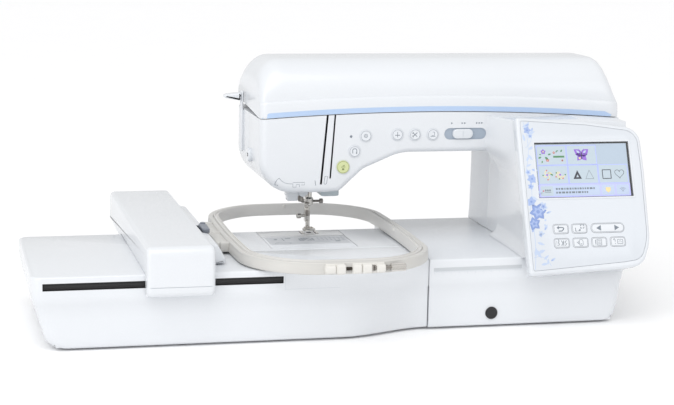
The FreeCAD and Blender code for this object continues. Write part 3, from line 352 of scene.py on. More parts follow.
def carve(thing, *cutters):
    """Cuts scratch pieces out of a piece, keeping the cutters' materials on the walls."""
    for cutter in cutters:
        step = thing.modifiers.new("cut", "BOOLEAN")
        step.object, step.operation, step.solver = cutter, "DIFFERENCE", "EXACT"
        step.material_mode = "TRANSFER"
    bpy.context.view_layer.update()
    graph = bpy.context.evaluated_depsgraph_get()
    cut = bpy.data.meshes.new_from_object(thing.evaluated_get(graph))
    thing.modifiers.clear()
    thing.data = cut
    shaded(cut)
    for cutter in cutters:
        bpy.data.objects.remove(cutter)
    return thing


def cutter(bm, material):
    """A scratch piece for carve."""
    return piece("cutter", bm, material, body=None)



def merged(name, parts, material, body="machine", stands_for=(),
           local=None, angle=32):
    """Joins several scratch meshes, each a bmesh in millimetres, in one piece."""
    whole = bmesh.new()
    for index, part in parts:
        mesh = bpy.data.meshes.new("part")
        bmesh.ops.recalc_face_normals(part, faces=part.faces)
        for face in part.faces:
            face.material_index = index
        part.to_mesh(mesh)
        part.free()
        whole.from_mesh(mesh)
        bpy.data.meshes.remove(mesh)
    mesh = bpy.data.meshes.new(name)
    whole.to_mesh(mesh)
    whole.free()
    return piece(name, mesh, material, body, stands_for, angle, local)


def ribbon(path, width, level, thick, lift=along_z):
    """A flat strip of one width along an open line of 2-D points."""
    path = vectors(path)
    left, right = [], []
    for i, here in enumerate(path):
        ahead = path[min(i + 1, len(path) - 1)] - path[max(i - 1, 0)]
        side = Vector((-ahead.y, ahead.x)).normalized() * width / 2
        left.append(here + side)
        right.append(here - side)
    points = turned_in(left + list(reversed(right)))
    return prism(points, level, level + thick, lift)


def curve_points(a, b, c, steps=12):
    """A bend from a to c that leans towards b."""
    a, b, c = Vector(a), Vector(b), Vector(c)
    return [a * (1 - t) ** 2 + b * 2 * t * (1 - t) + c * t * t
            for t in [k / steps for k in range(steps + 1)]]


def disc(x, y, radius, steps=20):
    return [Vector((x + radius * math.cos(2 * math.pi * k / steps),
                    y + radius * math.sin(2 * math.pi * k / steps))) for k in range(steps)]


def oblong(x, y, wide, tall, corner, steps=5):
    w, h = wide / 2, tall / 2
    return outline([(x - w, y - h, corner), (x + w, y - h, corner), (x + w, y + h, corner),
                    (x - w, y + h, corner)], steps)


def tube(path, radius, steps=10):
    """A round bar along 3-D points, with flat ends."""
    path, rings = vectors(path), []
    for i, here in enumerate(path):
        ahead = (path[min(i + 1, len(path) - 1)] - path[max(i - 1, 0)]).normalized()
        side = ahead.cross(Vector((0, 0, 1)) if abs(ahead.z) < 0.9 else Vector((1, 0, 0)))
        side.normalize()
        up = side.cross(ahead)
        r = radius[i] if isinstance(radius, list) else radius
        rings.append([here + side * r * math.cos(2 * math.pi * k / steps) +
                      up * r * math.sin(2 * math.pi * k / steps) for k in range(steps)])
    return rings_mesh(rings)


# ------------------------------------------------------------------ stage, light, camera

WORLD_LIGHT = 0.76
SUN_LIGHT = 1.05
CAMERA_AT = Vector((-461.7, -2037.5, 492.0))
YAW, PITCH, ROLL = math.radians(13.7), math.radians(10.1), math.radians(1.1)
SENSOR = 36.0
FLOOR_REACH = 30.0
FLOOR_GAP = 0.0004
FOCAL_IN_WIDTHS = 2.5785


def make_camera():
    data = bpy.data.cameras.new("camera")
    data.sensor_width = SENSOR
    data.lens = SENSOR * FOCAL_IN_WIDTHS
    data.clip_end = 50
    forward = Vector((math.sin(YAW) * math.cos(PITCH), math.cos(YAW) * math.cos(PITCH),
                      -math.sin(PITCH)))
    right = Vector((math.cos(YAW), -math.sin(YAW), 0))
    up = right.cross(forward)
    rolled = right * math.cos(ROLL) + up * math.sin(ROLL)
    upright = -right * math.sin(ROLL) + up * math.cos(ROLL)
    camera = linked(bpy.data.objects.new("camera", data))
    turn = Matrix((rolled, upright, -forward)).transposed().to_4x4()
    camera.matrix_world = Matrix.Translation(PLACE @ CAMERA_AT) @ turn
    bpy.context.scene.camera = camera


def area_light(name, spot, target, size, power):
    data = bpy.data.lights.new(name, "AREA")
    data.shape = "RECTANGLE"
    data.size, data.size_y = size
    data.energy = power
    thing = linked(bpy.data.objects.new(name, data))
    thing.location = spot
    thing.rotation_euler = (Vector(target) - Vector(spot)).to_track_quat("-Z", "Y").to_euler()


def make_stage():
    world = bpy.data.worlds.new("studio")
    world.use_nodes = True
    background = world.node_tree.nodes["Background"]
    background.inputs["Color"].default_value = (1, 1, 1, 1)
    background.inputs["Strength"].default_value = WORLD_LIGHT
    bpy.context.scene.world = world
    bpy.context.scene.view_settings.view_transform = "Standard"
    bm = bmesh.new()
    bmesh.ops.create_grid(bm, x_segments=2, y_segments=2, size=FLOOR_REACH)
    mesh = bpy.data.meshes.new("floor")
    bm.to_mesh(mesh)
    bm.free()
    mesh.materials.append(shader("studio_floor", (0.97, 0.97, 0.975), 0.7, mottle=0.004,
                                 bump=0.01, specular=0.2))
    floor = linked(bpy.data.objects.new("floor", mesh))
    floor.location.z = -FLOOR_GAP
    sun = bpy.data.lights.new("sun", "SUN")
    sun.energy = SUN_LIGHT
    sun.angle = math.radians(50)
    lamp = linked(bpy.data.objects.new("sun", sun))
    lamp.rotation_euler = Vector((0.25, 0.55, -1.0)).to_track_quat("-Z", "Y").to_euler()
    area_light("soft_left", (-1.6, -1.2, 1.0), (0, 0, 0.12), (0.9, 1.6), 8.0)
    area_light("soft_right", (1.5, -1.9, 1.4), (0.2, 0, 0.15), (1.0, 1.0), 3.0)


make_camera()
make_stage()

# ------------------------------------------------------------------ arm, head and pillar

# Where the trim line peaks, how high, and how fast it falls away on both sides.
TRIM_PEAK_X, TRIM_PEAK, TRIM_DROP = 127.0, 239.0, 1.7e-4


def trim(x):
    """Height of the arched line between the casing and the top cover."""
    return TRIM_PEAK - TRIM_DROP * (x - TRIM_PEAK_X) ** 2


# Left and right ends of the arm, underside of the head and of the arm, left side of the pillar,
# right end of its foot, and the height of the trim line at the right end.
ARM_LEFT, ARM_RIGHT = HEAD_LOW.x, HEAD_HIGH.x
HEAD_BOTTOM = 145.0
ARM_UNDER = 191.0
PILLAR = 227.0
PILLAR_FOOT_RIGHT = 349.0
TRIM_END = 232.0
PANEL_FOOT_Y, PANEL_FOOT_Z, PANEL_SLOPE = -206.0, 66.0, 0.41


HEAD_EDGE, ARM_EDGE, PILLAR_EDGE = 9.0, 7.0, 3.0
CASING_WALL = 5.0
LID_LEVEL = 266.0


def casing_line():
    """The head, arm and pillar seen from the front, drawn past the trim line."""
    foot = BED + 0.5
    lean = (ARM_RIGHT - PILLAR_FOOT_RIGHT) / (TRIM_END - foot)
    right_top = ARM_RIGHT + lean * (LID_LEVEL - TRIM_END)
    corners = [(PILLAR, foot, 0), (PILLAR + 1, ARM_UNDER, 18), (92, ARM_UNDER, 60),
               (47, 172, 26), (19, 146, 12), (3, HEAD_BOTTOM, 6), (ARM_LEFT, HEAD_BOTTOM, 46),
               (ARM_LEFT, LID_LEVEL, 0), (right_top, LID_LEVEL, 0),
               (PILLAR_FOOT_RIGHT, foot, 0)]
    return split_line(turned_in(outline(corners, 14)), 14)


def edge_radius(p):
    """How far the front edge rounds over at a point of the casing's line."""
    if p.y > LID_LEVEL - 1 or p.y < BED + 1:
        return 0.5
    if p.x < ARM_LEFT + 46:
        return HEAD_EDGE
    return PILLAR_EDGE if p.x > PILLAR - 2 else ARM_EDGE


def above_trim(y0, y1):
    """Everything above the arched trim line, to cut the casings down to it."""
    top = [Vector((x, trim(x))) for x in [-90 + 12 * k for k in range(41)]]
    loop = top + [Vector((top[-1].x, 300)), Vector((top[0].x, 300))]
    return prism(loop, y0, y1, along_y)


def cutters(material, *meshes):
    return [cutter(mesh, material) for mesh in meshes]


def make_casings():
    line = casing_line()
    front_round = [edge_radius(p) for p in line]
    rear_round = [min(1.3 * r, 14) for r in front_round]
    front = rounded_slab(line, FRONT, SPLIT - 0.2, front_round, 0.3, along_y, 7)
    rear = rounded_slab(line, SPLIT + 0.2, BACK, 0.3, rear_round, along_y, 7)
    front = piece("arm_front_shell", front, WHITE, stands_for=["front_casing"])
    rear = piece("arm_rear_shell", rear, WHITE, stands_for=["rear_casing"])
    hollow = vectors(((-62, 160), (10, 160), (60, 200), (238, 200), (240, 92), (334, 92),
                      (346, 224), (-62, 224)))
    above = above_trim(FRONT - 5, BACK + 5)
    room = prism(hollow, FRONT + CASING_WALL, SPLIT + 1, along_y)
    back_room = prism(hollow, SPLIT - 1, BACK - CASING_WALL, along_y)
    # The thread slots are cut with black walls: painted shade for the dark inside of the slots.
    thread_slots = [ribbon((low, high), width, FRONT - 2, 8, along_y) for high, low, width in
                    (((3.0, 243), (-4.4, 155), 2.4), ((12, 243), (6.6, 162), 1.9))]
    mouth = outline([(-42, -36, 8), (14, -36, 8), (14, 26, 8), (-42, 26, 8)])
    pocket = prism(mouth, HEAD_BOTTOM - 2, HEAD_BOTTOM + 14)
    track = prism(oblong(171, 212.8, 52, 13.6, 6.6), FRONT - 2, FRONT + 1.0, along_y)
    carve(front, *cutters(WHITE_SATIN, above.copy(), room), *cutters(BLACK, *thread_slots),
          cutter(pocket.copy(), GAP_DARK), cutter(track, TRACK_BLUE))
    # The vents are shallow blind recesses with black walls and floors: painted shade for the dark
    # inside behind them.
    vents = [box_mesh((255 + 9 * i, BACK - 3, 112), (258.6 + 9 * i, BACK + 2, 165), 0)
             for i in range(9)]
    carve(rear, *cutters(WHITE_SATIN, above, back_room), cutter(pocket, GAP_DARK),
          *cutters(BLACK, *vents))


make_casings()


def ease(t):
    """A smooth rise from 0 to 1."""
    t = min(max(t, 0.0), 1.0)
    return t * t * (3 - 2 * t)


def fillet(part):
    """How far a quarter round stands in, as a share of its radius: 1 at the edge, 0 inside."""
    return 1 - math.sqrt(max(1 - (1 - part) ** 2, 0))


COWL_FOOT = 15.0


def make_cowl():
    """The flare that sweeps from the pillar and arm out to the back of the panel."""
    rings = []
    levels = [BED + 0.4 + d for d in (0, 0.4, 1, 2, 3.5, 5.5, 8, 11, 15)]
    levels += [106 + 10 * k for k in range(6)] + [162 + 3 * k for k in range(14)]
    levels += [208, 216, 224, 230, 234]
    for z in levels:
        foot = COWL_FOOT * fillet(min((z - BED) / COWL_FOOT, 1.0))
        above = ease((z - 158) / 42)
        start = Vector((PILLAR - 0.2 - foot - 30 * above, -46 - 33.7 * above))
        slab = PANEL_FOOT_Y + PANEL_SLOPE * (z - PANEL_FOOT_Z) + 15.8
        finish = Vector((215.5 + 6 * ease((150 - z) / 60) - foot * 0.9, slab))
        lean = Vector((start.x + (0.5 + 13 * above), slab * 0.45 + start.y * 0.55 - 8))
        flank = curve_points(start, lean, finish, 14)
        right = PILLAR_FOOT_RIGHT - 2.5 + 14 * (z - BED) / (TRIM_END - BED)
        ring = flank + [Vector((right - 9, slab)), Vector((right - 2.5, slab + 2.5)),
                        Vector((right, slab + 9)), Vector((right, -70)), Vector((300, -46))]
        rings.append(along_z(ring, z))
    cowl = piece("panel_cowl", rings_mesh(rings), WHITE, angle=60)
    carve(cowl, cutter(above_trim(-260, BACK), WHITE_SATIN))


make_cowl()

# ------------------------------------------------------------------ top cover

COVER_TOP = COVER_HIGH.z
COVER_RIGHT = COVER_HIGH.x
STRIPE_TALL = 6.2
CREASE = 11.5
LEFT_ROUND, LEFT_DROP, RIGHT_ROUND, RIGHT_DROP = 28, 34, 30, 62


def cover_section(x):
    """The cover cut across at x, as points from the front edge over to the back edge."""
    low = trim(x) + 0.9
    left, right = x - ARM_LEFT, COVER_RIGHT - x
    drop = LEFT_DROP * fillet(min(left / LEFT_ROUND, 1))
    if right < RIGHT_ROUND:
        drop = RIGHT_DROP * ((RIGHT_ROUND - right) / RIGHT_ROUND) ** 2.6
    pull = HEAD_EDGE * fillet(min(left / HEAD_EDGE, 1)) + 12 * fillet(min(right / 18, 1))
    top = COVER_TOP - drop
    front = FRONT + pull
    crease = min(low + STRIPE_TALL + CREASE, top - 3)
    wall = [(front + 0.2, low), (front, low + 2.5), (front, low + STRIPE_TALL),
            (front + 0.6, low + STRIPE_TALL + 0.8 * (crease - low - STRIPE_TALL)),
            (front + 1.6, crease), (front + 3.4, crease + 0.9)]
    lift = max(top - crease, 3)
    a, b = Vector((front + 3.4, crease + 0.9)), Vector((-34, top))
    for k in range(1, 13):
        u = k / 12 * math.pi / 2
        wall.append((a.x + (b.x - a.x) * (1 - math.cos(u)) ** 0.92,
                     a.y + (b.y - a.y) * math.sin(u) ** 0.96))
    wall += [(-10, top + 0.2), (18, top - 0.2)]
    rear = BACK - pull * 0.6
    for k in range(1, 11):
        u = k / 10 * math.pi / 2
        wall.append((18 + (rear - 18) * math.sin(u),
                     low + 18 + (top - 0.2 - low - 18) * math.cos(u)))
    return wall + [(rear, low + 10)]


def make_cover():
    stations = [ARM_LEFT + 0.02, ARM_LEFT + 0.5, ARM_LEFT + 1.5, ARM_LEFT + 3, ARM_LEFT + 5.5]
    stations += [ARM_LEFT + 9 + 4.5 * k for k in range(9)]
    stations += [ARM_LEFT + 60 + 22 * k for k in range(16)]
    stations += [COVER_RIGHT - d for d in (30, 25, 20, 16, 12, 9, 6, 4, 2.4, 1.2, 0.4, 0.02)]
    stations = sorted(s for s in set(stations) if s <= COVER_RIGHT)
    bm = bmesh.new()
    rows = []
    for x in stations:
        rows.append([bm.verts.new((x, y, z)) for y, z in cover_section(x)])
    for a, b in zip(rows, rows[1:]):
        for i in range(len(a) - 1):
            bm.faces.new((a[i], a[i + 1], b[i + 1], b[i]))
    for row, flip in ((rows[0], False), (rows[-1], True)):
        bm.faces.new(list(reversed(row)) if flip else row)
    mesh = bpy.data.meshes.new("cover")
    bmesh.ops.recalc_face_normals(bm, faces=bm.faces)
    bm.to_mesh(mesh)
    bm.free()
    cover = piece("top_lid", mesh, [WHITE, WHITE_SATIN], "top_cover",
                  stands_for=["top_cover"], angle=38)
    wall = cover.modifiers.new("wall", "SOLIDIFY")
    wall.thickness, wall.offset = 0.0026, -1
    graph = bpy.context.evaluated_depsgraph_get()
    cover.data = bpy.data.meshes.new_from_object(cover.evaluated_get(graph))
    cover.modifiers.clear()
    shaded(cover.data, 38)


def make_stripe():
    """The blue line let in along the foot of the cover, tapered at both ends."""
    left, right = ARM_LEFT + 2.2, COVER_RIGHT - 13.5
    count = 60
    low, high = [], []
    for k in range(count + 1):
        x = left + (right - left) * k / count
        y = cover_section(x)[2][0]
        slope = min(1, 0.35 + k / 1.5) * min(1, 0.4 + (count - k) / 1.0)
        low.append((x, y - 0.45, trim(x) + 0.95))
        tall = STRIPE_TALL * max(slope, 0.25)
        high.append((x + (1 - slope) * 2.5, y - 0.45, trim(x) + 1.0 + tall))
    bm = bmesh.new()
    rows = []
    for (a, b, c), (d, e, f) in zip(low, high):
        rows.append([bm.verts.new(p) for p in ((a, b + 2.2, c), (a, b, c + 0.3), (d, e, f - 0.3),
                                               (d, e + 2.2, f))])
    for a, b in zip(rows, rows[1:]):
        for i in range(3):
            bm.faces.new((a[i], b[i], b[i + 1], a[i + 1]))
    piece("trim_stripe", bm, BLUE, "top_cover", ["accent_stripe"], angle=60)


make_cover()
make_stripe()

# ------------------------------------------------------------------ base and bed


def layered(name, plan_at, levels, material, body="machine", stands_for=(), angle=28):
    """A tray wall skinned through plans at rising levels; plan_at(level, inset) draws one."""
    rings = [along_z(plan_at(z, inset), z) for z, inset in levels]
    return piece(name, rings_mesh(rings), material, body, stands_for=stands_for, angle=angle)


def end_profile(z, foot_in, side_in):
    """How far an end wall stands in from its widest, at height z."""
    knots = [(2.0, foot_in + 6), (4.5, foot_in + 1), (11, side_in + 2.5), (20, side_in),
             (50, 2.6), (60, 0.8), (68, 0.0), (90, 0.0)]
    for (z0, a), (z1, b) in zip(knots, knots[1:]):
        if z <= z1:
            return a + (b - a) * max(z - z0, 0) / (z1 - z0)
    return 0.0


# Heights of the wall's rings, each with how far it is drawn in.
TRAY_LEVELS = [(2.0, 3.5), (2.6, 2.0), (3.8, 0.9), (5.5, 0.6), (11, 0.6), (20, 0.6), (35, 0.6),
               (50.2, 0.6), (51.6, 0.0), (60, 0.0), (68, 0.0), (BED - 2.2, 0.0),
               (BED - 1.3, 0.25), (BED - 0.5, 0.9), (BED, 2.0)]
BODY_FRONT = -178.0


def base_plan(z, inset):
    right = BASE_HIGH.x - end_profile(z, 12, 6.5) - inset
    front, back, left = BODY_FRONT + inset, BACK - inset, SEAM + 0.15 + min(inset, 0.4)
    return outline([(left, front, 0.4), (right, front, 11), (right, back, 11),
                    (left, back, 0.4)], 8)


SCALE_MARKS, SCALE_STEP = 54, 1.95


def make_base():
    base = layered("bed_shell", base_plan, TRAY_LEVELS, WHITE, stands_for=["base_shell"])
    right = BASE_HIGH.x
    room = box_mesh((SEAM + 3, BODY_FRONT + 3, 5), (right - 15, BACK - 3, BED - 3), 0)
    window = box_mesh((right - 16, -34, 22), (right + 2, 46, 58), 0)
    bore = lathe([(5.2, -182), (5.2, -172)], (178, 0, 17), "Y", 32)
    carve(base, *cutters(WHITE_SATIN, room, window), cutter(bore, BLACK))
    low_cover, high_cover = mm_box("bobbin_cover")
    plate_high = mm_box("needle_plate")[1]
    arm_line = outline([(-100, -98, 6), (SEAM + 0.4, -98, 0), (SEAM + 0.4, 14, 0),
                        (-100, 14, 6)])
    arm = piece("free_arm_shell", rounded_slab(arm_line, 20, BED, 4, 1.6), WHITE)
    hole = oblong((low_cover.x + high_cover.x) / 2, (low_cover.y + plate_high.y) / 2,
                  high_cover.x - low_cover.x + 0.9, plate_high.y - low_cover.y + 0.9, 2)
    room = box_mesh((-97, -95, 23), (SEAM + 2, 11, BED - 3), 0)
    carve(arm, cutter(room, WHITE_SATIN), cutter(prism(hole, BED - 5, BED + 1), GAP_DARK))
    scale = [(0, ribbon(((107, 70.2), (213, 70.9)), 4.2, BODY_FRONT - 0.12,
                        0.3, along_y))]
    for k in range(SCALE_MARKS):
        x = 108 + SCALE_STEP * k
        tall = 3.4 if k % 5 == 0 else 1.8
        z = 68.3 + 0.0066 * (x - 107)
        scale.append((1, box_mesh((x, BODY_FRONT - 0.16, z - tall),
                                  (x + 0.45, BODY_FRONT + 0.3, z + 0.6), 0)))
    merged("bed_scale", scale, [SCALE_GREY, PALE_LINE])
    ring = lathe([(4.4, -178.8), (6.9, -178.9), (7.3, -178.2), (7.3, -177.2), (4.4, -177.2)],
                 (178, 0, 17), "Y", 40)
    piece("knee_socket_ring", ring, BLACK)


make_base()

# ------------------------------------------------------------------ embroidery unit

UNIT_FRONT = UNIT_LOW.y
UNIT_RIGHT = SEAM - 0.4
# Left, right, foot and top of the slot that the carriage runs in.
SLOT = (-337.0, -74.0, 67.0, 75.0)


def unit_plan(z, inset):
    left = UNIT_LOW.x + end_profile(z, 21, 12) + inset
    front, right = UNIT_FRONT + inset, UNIT_RIGHT - min(inset, 0.4)
    inner_y, inner_x = -98.4 - inset, -100.4 - inset
    sweep = []
    for k in range(25):
        t = k / 24
        sweep.append(Vector((-6 + (right + 6) * t,
                             front + (BODY_FRONT + 2.4 - UNIT_FRONT) * ease(t))))
    corners = outline([(right, inner_y, 0.3), (inner_x, inner_y, 0.3), (inner_x, 22 - inset, 0.3),
                       (left, 22 - inset, 10), (left, front, 12), (-7, front, 0)], 8)
    return sweep + corners


def make_unit():
    unit = layered("unit_case", unit_plan, TRAY_LEVELS, WHITE, stands_for=["unit_shell"])
    room = box_mesh((UNIT_LOW.x + 24, UNIT_FRONT + 3.2, 6), (-12, -102, BED - 3), 0)
    room_left = box_mesh((UNIT_LOW.x + 24, -150, 6), (-104, 19, BED - 3), 0)
    mouth = box_mesh((SLOT[0], UNIT_FRONT - 2, SLOT[2]), (SLOT[1], UNIT_FRONT + 4, SLOT[3]), 0)
    carve(unit, *cutters(GAP_DARK, room, room_left), cutter(mouth, BLACK))
    seal = box_mesh((SLOT[0] + 0.4, UNIT_FRONT + 2.2, SLOT[2] + 0.3),
                    (SLOT[1] - 0.4, UNIT_FRONT + 3.0, SLOT[3] - 0.3), 0.1)
    lips = [(0, seal)]
    for z in (SLOT[2] + 2.3, SLOT[3] - 2.3):
        lips.append((0, box_mesh((SLOT[0] + 0.6, UNIT_FRONT + 1.4, z - 0.3),
                                 (SLOT[1] - 0.6, UNIT_FRONT + 2.4, z + 0.3), 0.1)))
    merged("slot_brush", lips, BLACK, stands_for=["slot_seal"])
    lines = [(0, box_mesh((-72, UNIT_FRONT - 0.06, 60.0), (-10, UNIT_FRONT + 0.2, 60.3), 0)),
             (0, box_mesh((-72.2, UNIT_FRONT - 0.06, 60.0), (-71.9, UNIT_FRONT + 0.2, 79), 0))]
    merged("unit_cover_line", lines, PALE_LINE)


make_unit()


CARRIAGE_SEAM = 69.8
LEVER_PIVOT = (-142.0, -66.0)


def make_carriage():
    left, right, top = CAR_LOW.x, CAR_HIGH.x, CAR_HIGH.z
    front, back, lip = CAR_LOW.y, CAR_HIGH.y, 58.5
    under = BED + 0.6
    corners = [(front, top, 10), (back, top, 12), (back, BED - 6, 4), (26.5, BED - 6, 0.5),
               (26.5, under, 0.5), (UNIT_FRONT - 0.7, under, 0.5), (UNIT_FRONT - 0.7, lip, 1),
               (front, lip, 7)]
    line = turned_in(outline(corners, 8))
    rounds = []
    for p in line:
        outer = p.x < front + 7 or p.x > back - 9 or p.y > top - 9
        rounds.append(5.5 if outer else 0.4)
    body = rounded_slab(line, left, right, rounds, rounds, along_x, 7)
    body = piece("carriage_case", body, WHITE, "carriage", stands_for=["carriage_cover"],
                 angle=30)
    z = CARRIAGE_SEAM
    cuts = [box_mesh((left - 1, front - 1, z), (right + 1, front + 0.55, z + 0.5), 0),
            box_mesh((left - 1, front - 1, z), (left + 0.45, UNIT_FRONT, z + 0.5), 0),
            box_mesh((right - 0.45, front - 1, z), (right + 1, UNIT_FRONT, z + 0.5), 0)]
    room = box_mesh((left + 7, front + 7, under + 2), (right - 7, back - 8, top - 4), 0)
    gate = box_mesh((left + 18, front + 5, under - 2), (right - 22, UNIT_FRONT - 3, under + 6),
                    0)
    link = box_mesh((right - 9, front + 8, 87.5), (right + 1, back - 8, 90.5), 0)
    open_under = box_mesh((left + 7, UNIT_FRONT + 3, under - 1), (right - 7, 24, under + 3), 0)
    skirt_room = box_mesh((left + 16, front + 5.5, lip + 4),
                          (right - 20, UNIT_FRONT + 1, top - 8), 0)
    carve(body, *cutters(WHITE_SATIN, room, open_under, gate, skirt_room),
          cutter(link, GAP_DARK), *cutters(PALE_LINE, *cuts))
    low, high = mm_box("frame_holder")
    edge = right + 0.7
    section = [(edge, 84, 0.5), (high.x - 1, 84, 1.5), (high.x, 89, 3), (edge + 9.5, 105.5, 4),
               (edge, 107, 1)]
    line = turned_in(outline(section, 5))
    rounds = [3.0 if p.x > edge + 2 else 0.5 for p in line]
    ridge = piece("hoop_carrier", rounded_slab(line, low.y, high.y, rounds, rounds, along_y, 5),
                  WHITE, "frame_holder", stands_for=["frame_holder"], angle=30)
    trough = oblong(-144.5, -84, 11, 46, 4)
    carve(ridge, cutter(prism(trough, 103.6, 112), GAP_DARK))
    blade = outline([(-147, -98, 2), (-138.5, -99, 3), (-137.5, -66, 4), (-147, -62, 4)], 5)
    lever = rounded_slab(blade, 104.2, 109.6, 0.6, 1.6)
    cap = lathe([(0.1, 109.4), (3.2, 109.4), (3.2, 110.4), (2.4, 110.9), (0.1, 110.9)],
                (*LEVER_PIVOT, 0), "Z", 24)
    merged("carrier_lever", [(0, lever), (0, cap)], SLATE, "holder_lever",
           ["holder_lever"])


make_carriage()

# ------------------------------------------------------------------ hoop

OUT_LOW, OUT_HIGH = mm_box("hoop_outer")
HOOP_X0, HOOP_X1 = -120.0, 104.0
HOOP_Y0, HOOP_Y1 = OUT_HIGH.y - 367.0, OUT_HIGH.y
HOOP_Z0, HOOP_Z1 = OUT_LOW.z, OUT_HIGH.z
HOOP_BOW, HOOP_CORNER = 7.0, 74.0
CLAMP_Y, CLAMP_Z = HOOP_Y0 - 1.2, HOOP_Z0 + 6.6


def hoop_line(inset):
    """The rounded oblong with bowed sides, drawn in by inset."""
    corner = HOOP_CORNER - inset
    x0, x1 = HOOP_X0 + inset + HOOP_BOW, HOOP_X1 - inset - HOOP_BOW
    y0, y1 = HOOP_Y0 + inset + HOOP_BOW, HOOP_Y1 - inset - HOOP_BOW
    rough = outline([(x0, y0, corner), (x1, y0, corner), (x1, y1, corner), (x0, y1, corner)], 16)
    mx, my, hx, hy = (x0 + x1) / 2, (y0 + y1) / 2, (x1 - x0) / 2, (y1 - y0) / 2
    bowed = []
    for p in split_line(rough, 9):
        dx, dy = (p.x - mx) / hx, (p.y - my) / hy
        bowed.append(Vector((p.x + HOOP_BOW * (1 - dy * dy) * dx,
                             p.y + HOOP_BOW * (1 - dx * dx) * dy)))
    return bowed


def ring_band(start, section):
    return rings_mesh([along_z(hoop_line(start + inset), z) for inset, z in section], looped=True)


def toothed_ring(x, y, z, radii):
    """A ring across X about (y, z), with one radius for each of its points."""
    turns = [2 * math.pi * k / len(radii) for k in range(len(radii))]
    return [Vector((x, y + r * math.cos(a), z + r * math.sin(a))) for r, a in zip(radii, turns)]


KNOB_TEETH = 60


def make_hoop():
    z0, z1 = HOOP_Z0, HOOP_Z1
    outer = [(1.0, z0), (0.0, z0 + 1.0), (0.0, z0 + 8.5), (0.5, z0 + 9.2), (0.5, z1 - 1.0),
             (1.4, z1), (5.6, z1), (6.5, z1 - 0.8), (6.5, z0 + 0.8), (5.7, z0)]
    top = z1 + 1.0
    inner = [(0.6, z0), (0.0, z0 + 0.7), (0.0, top - 0.8), (0.6, top), (1.5, top), (1.9, top - 1.5),
             (4.3, top - 1.5), (4.7, top), (5.4, top), (5.9, top - 0.7), (5.9, z0 + 0.7), (5.3, z0)]
    parts = [(0, ring_band(0.0, outer))]
    for x0, x1, tall, deep in ((-37, -24.9, 4.4, 4.6), (-24.7, -14.2, 5.6, 5.4),
                               (-6.6, 3.9, 5.2, 5.0), (4.3, 15.4, 5.2, 5.0),
                               (20.5, 30.8, 4.6, 4.8)):
        lug = []
        for x, part in ((x0, 0.72), (x0 + 1.2, 1.0), (x1 - 1.2, 1.0), (x1, 0.72)):
            half = oblong(0, 0, 2 * deep * part, 2 * tall * part, 2.6 * part, 5)
            lug.append([Vector((x, CLAMP_Y + p.x, CLAMP_Z - 0.3 + p.y)) for p in half])
        parts.append((1, rings_mesh(lug)))
    for x0, x1 in ((-36, -15), (-6, 30)):
        parts.append((1, box_mesh((x0, CLAMP_Y, z0 + 1), (x1, HOOP_Y0 + 4, z1 - 1.2), 0.8)))
    parts.append((0, box_mesh((HOOP_X0 - 12.4, -110, z0 + 1), (HOOP_X0 + 3, 10, z1 - 2), 1.6)))
    for y in (-112, -52, 8):
        parts.append((0, box_mesh((HOOP_X0 - 9, y - 4, z0 + 1.4),
                                  (HOOP_X0 + 1.5, y + 4, z1 - 0.6), 1.6)))
    parts.append((0, box_mesh((HOOP_X1 - 3, -52, z0 + 2), (HOOP_X1 + 2.4, -34, z1 - 3), 1.5)))
    merged("hoop_outer_ring", parts, [HOOP, HOOP_LUG], "frame_holder", ["hoop_outer"],
           angle=40)
    # The inner ring uses the lighter resin copy, painted light on its shaded walls.
    parts = [(0, ring_band(6.95, inner))]
    mx, my = (HOOP_X0 + HOOP_X1) / 2, (HOOP_Y0 + HOOP_Y1) / 2
    for x, y, sx, sy in ((mx, HOOP_Y1 - 11.3, 1, 0), (HOOP_X1 - 11.3, my, 0, 1),
                         (HOOP_X0 + 11.3, my, 0, 1), (mx, HOOP_Y0 + 11.3, 1, 0)):
        a, b = Vector((x - 3 * sx, y - 3 * sy)), Vector((x + 3 * sx, y + 3 * sy))
        inward = Vector(((mx - x), (my - y))).normalized() * 3.2
        arrow = turned_in([a, b, Vector((x, y)) + inward])
        parts.append((1, prism(arrow, top - 4, top - 1.2)))
    merged("hoop_inner_ring", parts, [HOOP_INNER_PAINTED_LIGHT, HOOP_LUG], "frame_holder",
           ["hoop_inner"], angle=40)
    knob = [toothed_ring(x, CLAMP_Y, CLAMP_Z, [r - deep * (k % 2) for k in range(KNOB_TEETH)])
            for x, r, deep in ((36.9, 3.3, 0), (37.6, 4.5, 0.35), (53.2, 4.5, 0.35),
                               (54.0, 3.6, 0))]
    thread = [(1.9, -36)]
    for k in range(18):
        thread += [(2.0, -14 + 0.42 * k), (1.6, -13.8 + 0.42 * k)]
    thread += [(1.9, -6), (1.9, 15.6), (3.4, 15.8), (3.4, 17.2), (2.2, 17.4), (3.2, 18.2),
               (3.2, 19.6), (1.9, 19.8), (1.9, 31), (2.8, 31.4), (2.8, 33), (2.0, 33.4),
               (2.0, 36.9)]
    screw = lathe(thread, (0, CLAMP_Y, CLAMP_Z), "X", 24)
    merged("hoop_clamp_screw", [(0, rings_mesh(knob)), (1, screw)], [STEEL, STEEL_DARK],
           "hoop_screw", ["hoop_screw"], angle=25)


make_hoop()

# ------------------------------------------------------------------ control panel

TILT = math.radians(22.3)
PANEL_UP = Vector((0, math.sin(TILT), math.cos(TILT)))
PANEL_OUT = Vector((0, -math.cos(TILT), math.sin(TILT)))
PANEL = Matrix(((1, 0, 0, 0), (0, PANEL_UP.y, PANEL_OUT.y, PANEL_FOOT_Y),
                (0, PANEL_UP.z, PANEL_OUT.z, PANEL_FOOT_Z), (0, 0, 0, 1)))
SCREEN_BOX = (233.0, 350.0, 90.0, 156.0)


def on_panel(points, low, high):
    return prism(turned_in(points), low, high)



